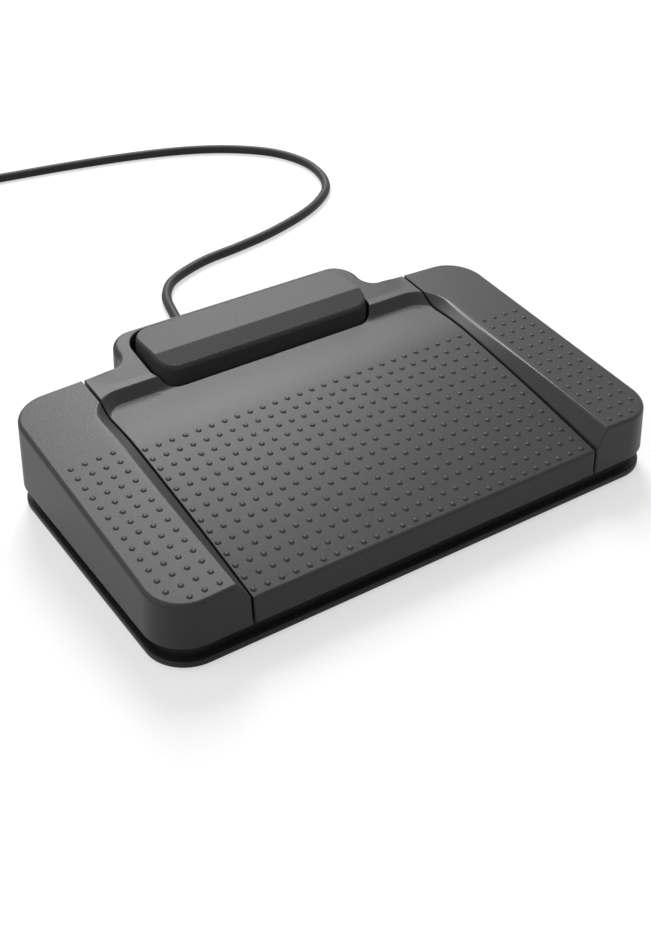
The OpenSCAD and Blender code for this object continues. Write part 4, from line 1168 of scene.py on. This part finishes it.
class PEDAL_OT_works(bpy.types.Operator):
    """Give the CAD pieces that stay their finishes"""

    bl_idname = "pedal_switch.works"
    bl_label = "Works"

    def execute(self, context):
        slots = {row["node"]: row["material_slot"] for row in frame["record"]["subparts"]}
        for name, obj in frame["nodes"].items():
            if obj.hide_render:
                continue
            obj.data.materials.clear()
            obj.data.materials.append(finish(slots[name]))
        return {"FINISHED"}


# Cord


def smooth_route(points):
    """Points of a smooth curve through the route."""
    path = []
    for i in range(len(points) - 1):
        a, b = Vector(points[max(i - 1, 0)]), Vector(points[i])
        c, d = Vector(points[i + 1]), Vector(points[min(i + 2, len(points) - 1)])
        bend = 2 * a - 5 * b + 4 * c - d
        twist = 3 * b - a - 3 * c + d
        for k in range(ROUTE_CUTS):
            t = k / ROUTE_CUTS
            path.append(0.5 * (2 * b + (c - a) * t + bend * t**2 + twist * t**3))
    path.append(Vector(points[-1]))
    return path


def coil_place(turn):
    """Distance from the coil's middle and height of the cord after a number of turns."""
    layer = min(int(turn / (LAYER_TURNS + CLIMB_TURNS) + 1e-9), COIL_LAYERS - 1)
    part = turn - layer * (LAYER_TURNS + CLIMB_TURNS)
    step = min(part / LAYER_TURNS, 1)
    climb = max(part - LAYER_TURNS, 0) / CLIMB_TURNS
    inward = step if layer % 2 == 0 else 1 - step
    return COIL_OUT_R - LAYER_TURNS * COIL_PITCH * inward, COIL_Z0 + COIL_PITCH * (layer + climb)


def about_coil(turn, radius, aside, z):
    """Point at a distance from the coil's middle after a number of turns, and a little aside."""
    angle = math.radians(90 + 360 * turn)
    x, y = math.cos(angle), math.sin(angle)
    middle_y = COIL_LINE_Y - COIL_OUT_R
    return Vector((COIL_X + radius * x - aside * y, middle_y + radius * y + aside * x, z))


def coil_route():
    """Points of the coil and of the tail to the plug."""
    path = []
    for i in range(COIL_TURNS * COIL_STEPS + 1):
        turn = i / COIL_STEPS
        radius, z = coil_place(turn)
        path.append(about_coil(turn, radius, 0, z))
    top = COIL_Z0 + (COIL_LAYERS - 1) * COIL_PITCH
    for i in range(1, TAIL_STEPS + 1):
        share = i / TAIL_STEPS
        path.append(Vector((COIL_X - TAIL_L * share, COIL_LINE_Y, top - (top - PLUG_Z) * eased(share))))
    path.append(path[-1] + Vector((-CORD_D, 0, 0)))
    return path


class PEDAL_OT_cord(bpy.types.Operator):
    """Lay the cord from the strain relief to its plug"""

    bl_idname = "pedal_switch.cord"
    bl_label = "Cord"

    diameter: length("Diameter", "Outside diameter of the cord", 0.0048)

    def execute(self, context):
        path = smooth_route(ROUTE) + coil_route()
        kept = [path[0]]
        for point in path[1:]:
            if (point - kept[-1]).length > SHORTEST_STEP:
                kept.append(point)
        curve = bpy.data.curves.new("cord", "CURVE")
        curve.dimensions = "3D"
        curve.bevel_depth = self.diameter / 2
        curve.bevel_resolution = 4
        curve.use_fill_caps = True
        spline = curve.splines.new("POLY")
        spline.points.add(len(kept) - 1)
        for point, place in zip(spline.points, kept):
            point.co = (*(place * MM), 1)
        spline.use_smooth = True
        obj = new_object("cord", curve)
        dress(obj, "cord_sheath", "base", "cable", "cable_coil")
        ends = [bpy.data.objects[n] for n in ("strain_boot", "tie_strap", "plug_grip")]
        ends += [frame["nodes"][n] for n in ("usb_plug_shell", "usb_plug_tongue")]
        return {"FINISHED"}


# Cord ends

# Strain relief in millimetres, as (distance back, radius), with grooves as (distance on, depth) and lands
BOOT_START, BOOT_END = ((66.7, 3.3), (66.9, 3.48), (73.6, 3.48)), ((85.2, 2.66), (85.36, 2.55))
BOOT_SIDES, BOOT_R, TAPER_R, TAPER_TIP_R, TAPER_Y, TAPER_L = 28, 3.48, 3.5, 2.68, 75.2, 10
GROOVES, GROOVE_Y, GROOVE_PITCH = 5, 73.9, 1.9
GROOVE, LAND = ((0.15, 0.1), (0.25, 0.55), (0.75, 0.55), (0.85, 0.1)), (-0.9, -0.1)
FLANGE_LOW, FLANGE_HIGH, FLANGE_ROUND = (-5, 64.72, 4.22), (5, 66.68, 11.38), 0.4

# Plug's grip in millimetres, as (distance, half width, half height)
GRIP_END = ((0, 6.6, 3.2), (0.5, 7.25, 3.75), (1.2, 7.5, 4.0))
GRIP_RIB = ((0, 7.5, 4.0), (0.2, 7.1, 3.7), (0.9, 7.1, 3.7), (1.1, 7.5, 4.0))
GRIP_NECK = (
    (-8.0, 7.5, 4.0), (-7.0, 7.2, 3.95), (-6.2, 6.2, 3.85), (-5.6, 4.4, 3.7), (-4.6, 3.75, 3.55),
    (3.6, 2.95, 2.95), (4.0, 2.75, 2.75), (4.0, 2.47, 2.47), (1.0, 2.47, 2.47),
)
RIBS, RIB_START, RIB_PITCH, GRIP_SIDES = 6, 6, 2.6, 32
GRIP_POWER, GRIP_LEAST, NECK_POWER, NECK_MOST, NECK_BLEND = 0.36, 5, 0.5, 4.4, 0.8


class PEDAL_OT_cord_ends(bpy.types.Operator):
    """Make the strain relief, the coil's tie and the plug's grip"""

    bl_idname = "pedal_switch.cord_ends"
    bl_label = "Cord Ends"

    def execute(self, context):
        dress(strain_boot(), "cord_sheath", "base", "strain_relief")
        dress(plug_grip(), "plug_plastic", "base", "usb_plug_body")
        dress(tie_strap(), "plug_plastic", "base", "cable_tie")
        return {"FINISHED"}


def strain_boot():
    """Grooved strain relief round the cord, with its flange."""
    bore = CORD_D / 2 + CORD_GAP
    profile = [(BOOT_START[0][0], bore), *BOOT_START]
    y, radius = GROOVE_Y, BOOT_R
    for _ in range(GROOVES):
        profile += [(y + along, radius - deep) for along, deep in GROOVE]
        y += GROOVE_PITCH
        radius = TAPER_R - (TAPER_R - TAPER_TIP_R) * max(0, y - TAPER_Y) / TAPER_L
        profile += [(y + along, radius) for along in LAND]
    profile += [*BOOT_END, (BOOT_END[-1][0], bore)]
    verts = []
    for y, radius in profile:
        for k in range(BOOT_SIDES):
            angle = 2 * math.pi * k / BOOT_SIDES
            verts.append((radius * math.cos(angle), y, EXIT_Z + radius * math.sin(angle)))
    obj = mesh_object("strain_boot", verts, ring_faces(len(profile), BOOT_SIDES, closed=True))
    add_flange(obj)
    return obj


def add_flange(obj):
    """Adds the strain relief's square flange inside the base wall."""
    bm = bmesh.new()
    bm.from_mesh(obj.data)
    made = bmesh.ops.create_cube(bm, size=1)
    for vert in made["verts"]:
        corner = [high if c > 0 else low for c, low, high in zip(vert.co, FLANGE_LOW, FLANGE_HIGH)]
        vert.co = Vector(corner) * MM
    edges = list({e for v in made["verts"] for e in v.link_edges})
    bmesh.ops.bevel(bm, geom=edges, offset=FLANGE_ROUND * MM, segments=2, profile=0.5, affect="EDGES")
    bm.to_mesh(obj.data)
    bm.free()


def tie_strap():
    """Strap drawn close round the coil's turns."""
    spots = [Vector(coil_place(TIE_TURN + turn)) for turn in range(COIL_TURNS)]
    close = CORD_D / 2 + CORD_GAP
    out = close + TIE_THICK
    section = [(close, -TIE_HW), (out - TIE_SOFT, -TIE_HW), (out, TIE_SOFT - TIE_HW),
               (out, TIE_HW - TIE_SOFT), (out - TIE_SOFT, TIE_HW), (close, TIE_HW)]
    verts = []
    for k in range(TIE_PARTS):
        angle = 2 * math.pi * k / TIE_PARTS
        way = Vector((math.cos(angle), math.sin(angle)))
        spot = max(spots, key=way.dot)
        for off, aside in section:
            radius, z = spot + way * off
            verts.append(tuple(about_coil(TIE_TURN, radius, aside, z)))
    return mesh_object("tie_strap", verts, ring_faces(TIE_PARTS, len(section), closed=True))


def plug_grip():
    """Over-moulded grip of the plug with finger ribs and a tapered neck, squarer where it is wide."""
    x_end = PLUG_X - PLUG_L
    stations = [(x_end + x, half_y, half_z) for x, half_y, half_z in GRIP_END]
    for rib in range(RIBS):
        x_rib = x_end + RIB_START + rib * RIB_PITCH
        stations += [(x_rib + x, half_y, half_z) for x, half_y, half_z in GRIP_RIB]
    stations += [(PLUG_X + x, half_y, half_z) for x, half_y, half_z in GRIP_NECK]
    verts = []
    for x, half_y, half_z in stations:
        power = NECK_POWER + (1 - NECK_POWER) * unit((NECK_MOST - half_y) / NECK_BLEND)
        if half_y > GRIP_LEAST:
            power = GRIP_POWER
        for k in range(GRIP_SIDES):
            angle = 2 * math.pi * (k + 0.5) / GRIP_SIDES
            c, s = math.cos(angle), math.sin(angle)
            y = half_y * math.copysign(abs(c) ** power, c)
            z = half_z * math.copysign(abs(s) ** power, s)
            verts.append((x, COIL_LINE_Y + y, PLUG_Z + z))
    return mesh_object("plug_grip", verts, ring_faces(len(stations), GRIP_SIDES))


# Stage: places in metres, turns in radians, the sensor in millimetres

CAMERA_PLACE, CAMERA_TURN = (-0.237695, -0.364219, 0.314703), (0.94495086, 0.00696263, -0.58419424)
SENSOR_WIDTH, CLIP_START = 36.0, 0.01
KEY_PLACE, KEY_SIZE = (0.496, 1.017, 1.131), (0.6, 0.95)
FILL_PLACE, FILL_SIZE = (-1.3, 0.0, 0.95), (1.6, 1.1)
FLOOR_HALF, FLOOR_NEAR, FLOOR_FAR = 6.0, 0.45, 1.4


def seen_level(tree, unseen, seen):
    """Level for light that only falls on things, and for rays that the camera sees, also by reflection."""
    path = add_node(tree, "ShaderNodeLightPath")
    rays = path.outputs["Is Camera Ray"]
    for kind in ("Is Glossy Ray", "Is Transmission Ray"):
        most = add_node(tree, "ShaderNodeMath", operation="MAXIMUM")
        tree.links.new(rays, most.inputs[0])
        tree.links.new(path.outputs[kind], most.inputs[1])
        rays = most.outputs["Value"]
    return value_range(tree, rays, unseen, seen)


class PEDAL_OT_stage(bpy.types.Operator):
    """Set the camera, the lights and the floor"""

    bl_idname = "pedal_switch.stage"
    bl_label = "Stage"

    lens: bpy.props.FloatProperty(name="Lens", description="Focal length in millimetres", default=52.14)
    key_power: bpy.props.FloatProperty(
        name="Key power", description="Power of the large soft light", default=23.5, unit="POWER")
    fill_power: bpy.props.FloatProperty(
        name="Fill power", description="Power of the light at the left", default=7.5, unit="POWER")
    world_level: bpy.props.FloatProperty(
        name="Ambient", description="Level of the light all round", default=0.38)
    floor_lift: bpy.props.FloatProperty(
        name="Floor lift", description="Own level of the floor, as seen", default=0.575)

    def execute(self, context):
        camera = new_object("camera", bpy.data.cameras.new("camera"))
        camera.location, camera.rotation_euler = CAMERA_PLACE, CAMERA_TURN
        camera.data.sensor_width, camera.data.clip_start = SENSOR_WIDTH, CLIP_START
        camera.data.lens = self.lens
        context.scene.camera = camera
        self.lamp("key", KEY_PLACE, KEY_SIZE, self.key_power)
        self.lamp("fill", FILL_PLACE, FILL_SIZE, self.fill_power)
        self.floor(context)
        self.world(context)
        context.scene.view_settings.view_transform = "Standard"
        return {"FINISHED"}

    def lamp(self, name, place, size, power):
        """Soft light aimed at the middle of the object."""
        data = bpy.data.lights.new(name, "AREA")
        data.shape = "RECTANGLE"
        data.size, data.size_y = size
        data.energy = power
        lamp = new_object(name, data)
        lamp.location = place
        lamp.rotation_euler = (-Vector(place)).to_track_quat("-Z", "Y").to_euler()

    def floor(self, context):
        """Pale floor that looks white to the camera, keeps the shadow and is plain white far off."""
        mesh = bpy.data.meshes.new("floor")
        corners = ((-1, -1), (1, -1), (1, 1), (-1, 1))
        mesh.from_pydata([(x * FLOOR_HALF, y * FLOOR_HALF, 0) for x, y in corners], [], [(0, 1, 2, 3)])
        material = bpy.data.materials.new("studio_floor")
        tree = empty_tree(material)
        matt = add_node(tree, "ShaderNodeBsdfDiffuse", Color=(*context.scene.pedal_finishes.floor, 1))
        lift = add_node(tree, "ShaderNodeEmission", Color=WHITE)
        both = add_node(tree, "ShaderNodeAddShader")
        output = add_node(tree, "ShaderNodeOutputMaterial")
        off = add_node(tree, "ShaderNodeVectorMath", operation="LENGTH")
        level = add_node(tree, "ShaderNodeMapRange", From_Min=FLOOR_NEAR, From_Max=FLOOR_FAR,
                         To_Min=self.floor_lift, To_Max=1.0)
        seen = add_node(tree, "ShaderNodeMath", operation="MULTIPLY")
        for out, into in (
            (object_place(tree), off.inputs[0]), (off.outputs["Value"], level.inputs["Value"]),
            (level.outputs["Result"], seen.inputs[0]), (seen_level(tree, 0.0, 1.0), seen.inputs[1]),
            (seen.outputs["Value"], lift.inputs["Strength"]), (matt.outputs["BSDF"], both.inputs[0]),
            (lift.outputs["Emission"], both.inputs[1]), (both.outputs["Shader"], output.inputs["Surface"]),
        ):
            tree.links.new(out, into)
        mesh.materials.append(material)
        new_object("floor", mesh)

    def world(self, context):
        """Even pale surroundings, white to the camera."""
        world = bpy.data.worlds.new("studio")
        context.scene.world = world
        tree = empty_tree(world)
        background = add_node(tree, "ShaderNodeBackground", Color=WHITE)
        output = add_node(tree, "ShaderNodeOutputWorld")
        tree.links.new(seen_level(tree, self.world_level, 1.0), background.inputs["Strength"])
        tree.links.new(background.outputs["Background"], output.inputs["Surface"])


class PEDAL_PT_panel(bpy.types.Panel):
    """Steps and settings of the foot pedal switch"""

    bl_idname = "PEDAL_PT_panel"
    bl_label = "Foot Pedal Switch"
    bl_space_type = "VIEW_3D"
    bl_region_type = "UI"
    bl_category = "Pedal Switch"

    def draw(self, context):
        layout = self.layout
        for step in STEPS:
            layout.operator(step.bl_idname)
        for group in (context.scene.pedal_sizes, context.scene.pedal_finishes):
            box = layout.box()
            for key in group.__annotations__:
                box.prop(group, key)


STEPS = (
    PEDAL_OT_stage, PEDAL_OT_cord_ends, PEDAL_OT_cord, PEDAL_OT_side_pedals, PEDAL_OT_centre_pedal,
    PEDAL_OT_rear_bar, PEDAL_OT_grip_dots, PEDAL_OT_base, PEDAL_OT_springs, PEDAL_OT_works,
)
CLASSES = (PedalSizes, PedalFinishes, *STEPS, PEDAL_PT_panel)


def register():
    for cls in CLASSES:
        bpy.utils.register_class(cls)
    bpy.types.Scene.pedal_sizes = bpy.props.PointerProperty(type=PedalSizes)
    bpy.types.Scene.pedal_finishes = bpy.props.PointerProperty(type=PedalFinishes)


def unregister():
    del bpy.types.Scene.pedal_finishes
    del bpy.types.Scene.pedal_sizes
    for cls in reversed(CLASSES):
        bpy.utils.unregister_class(cls)


def main():
    register()
    steps = bpy.ops.pedal_switch
    steps.stage()
    steps.cord_ends()
    steps.cord()
    steps.side_pedals()
    steps.centre_pedal()
    steps.rear_bar()
    steps.grip_dots()
    steps.base()
    steps.springs()
    steps.works()


if __name__ == "__main__":
    main()
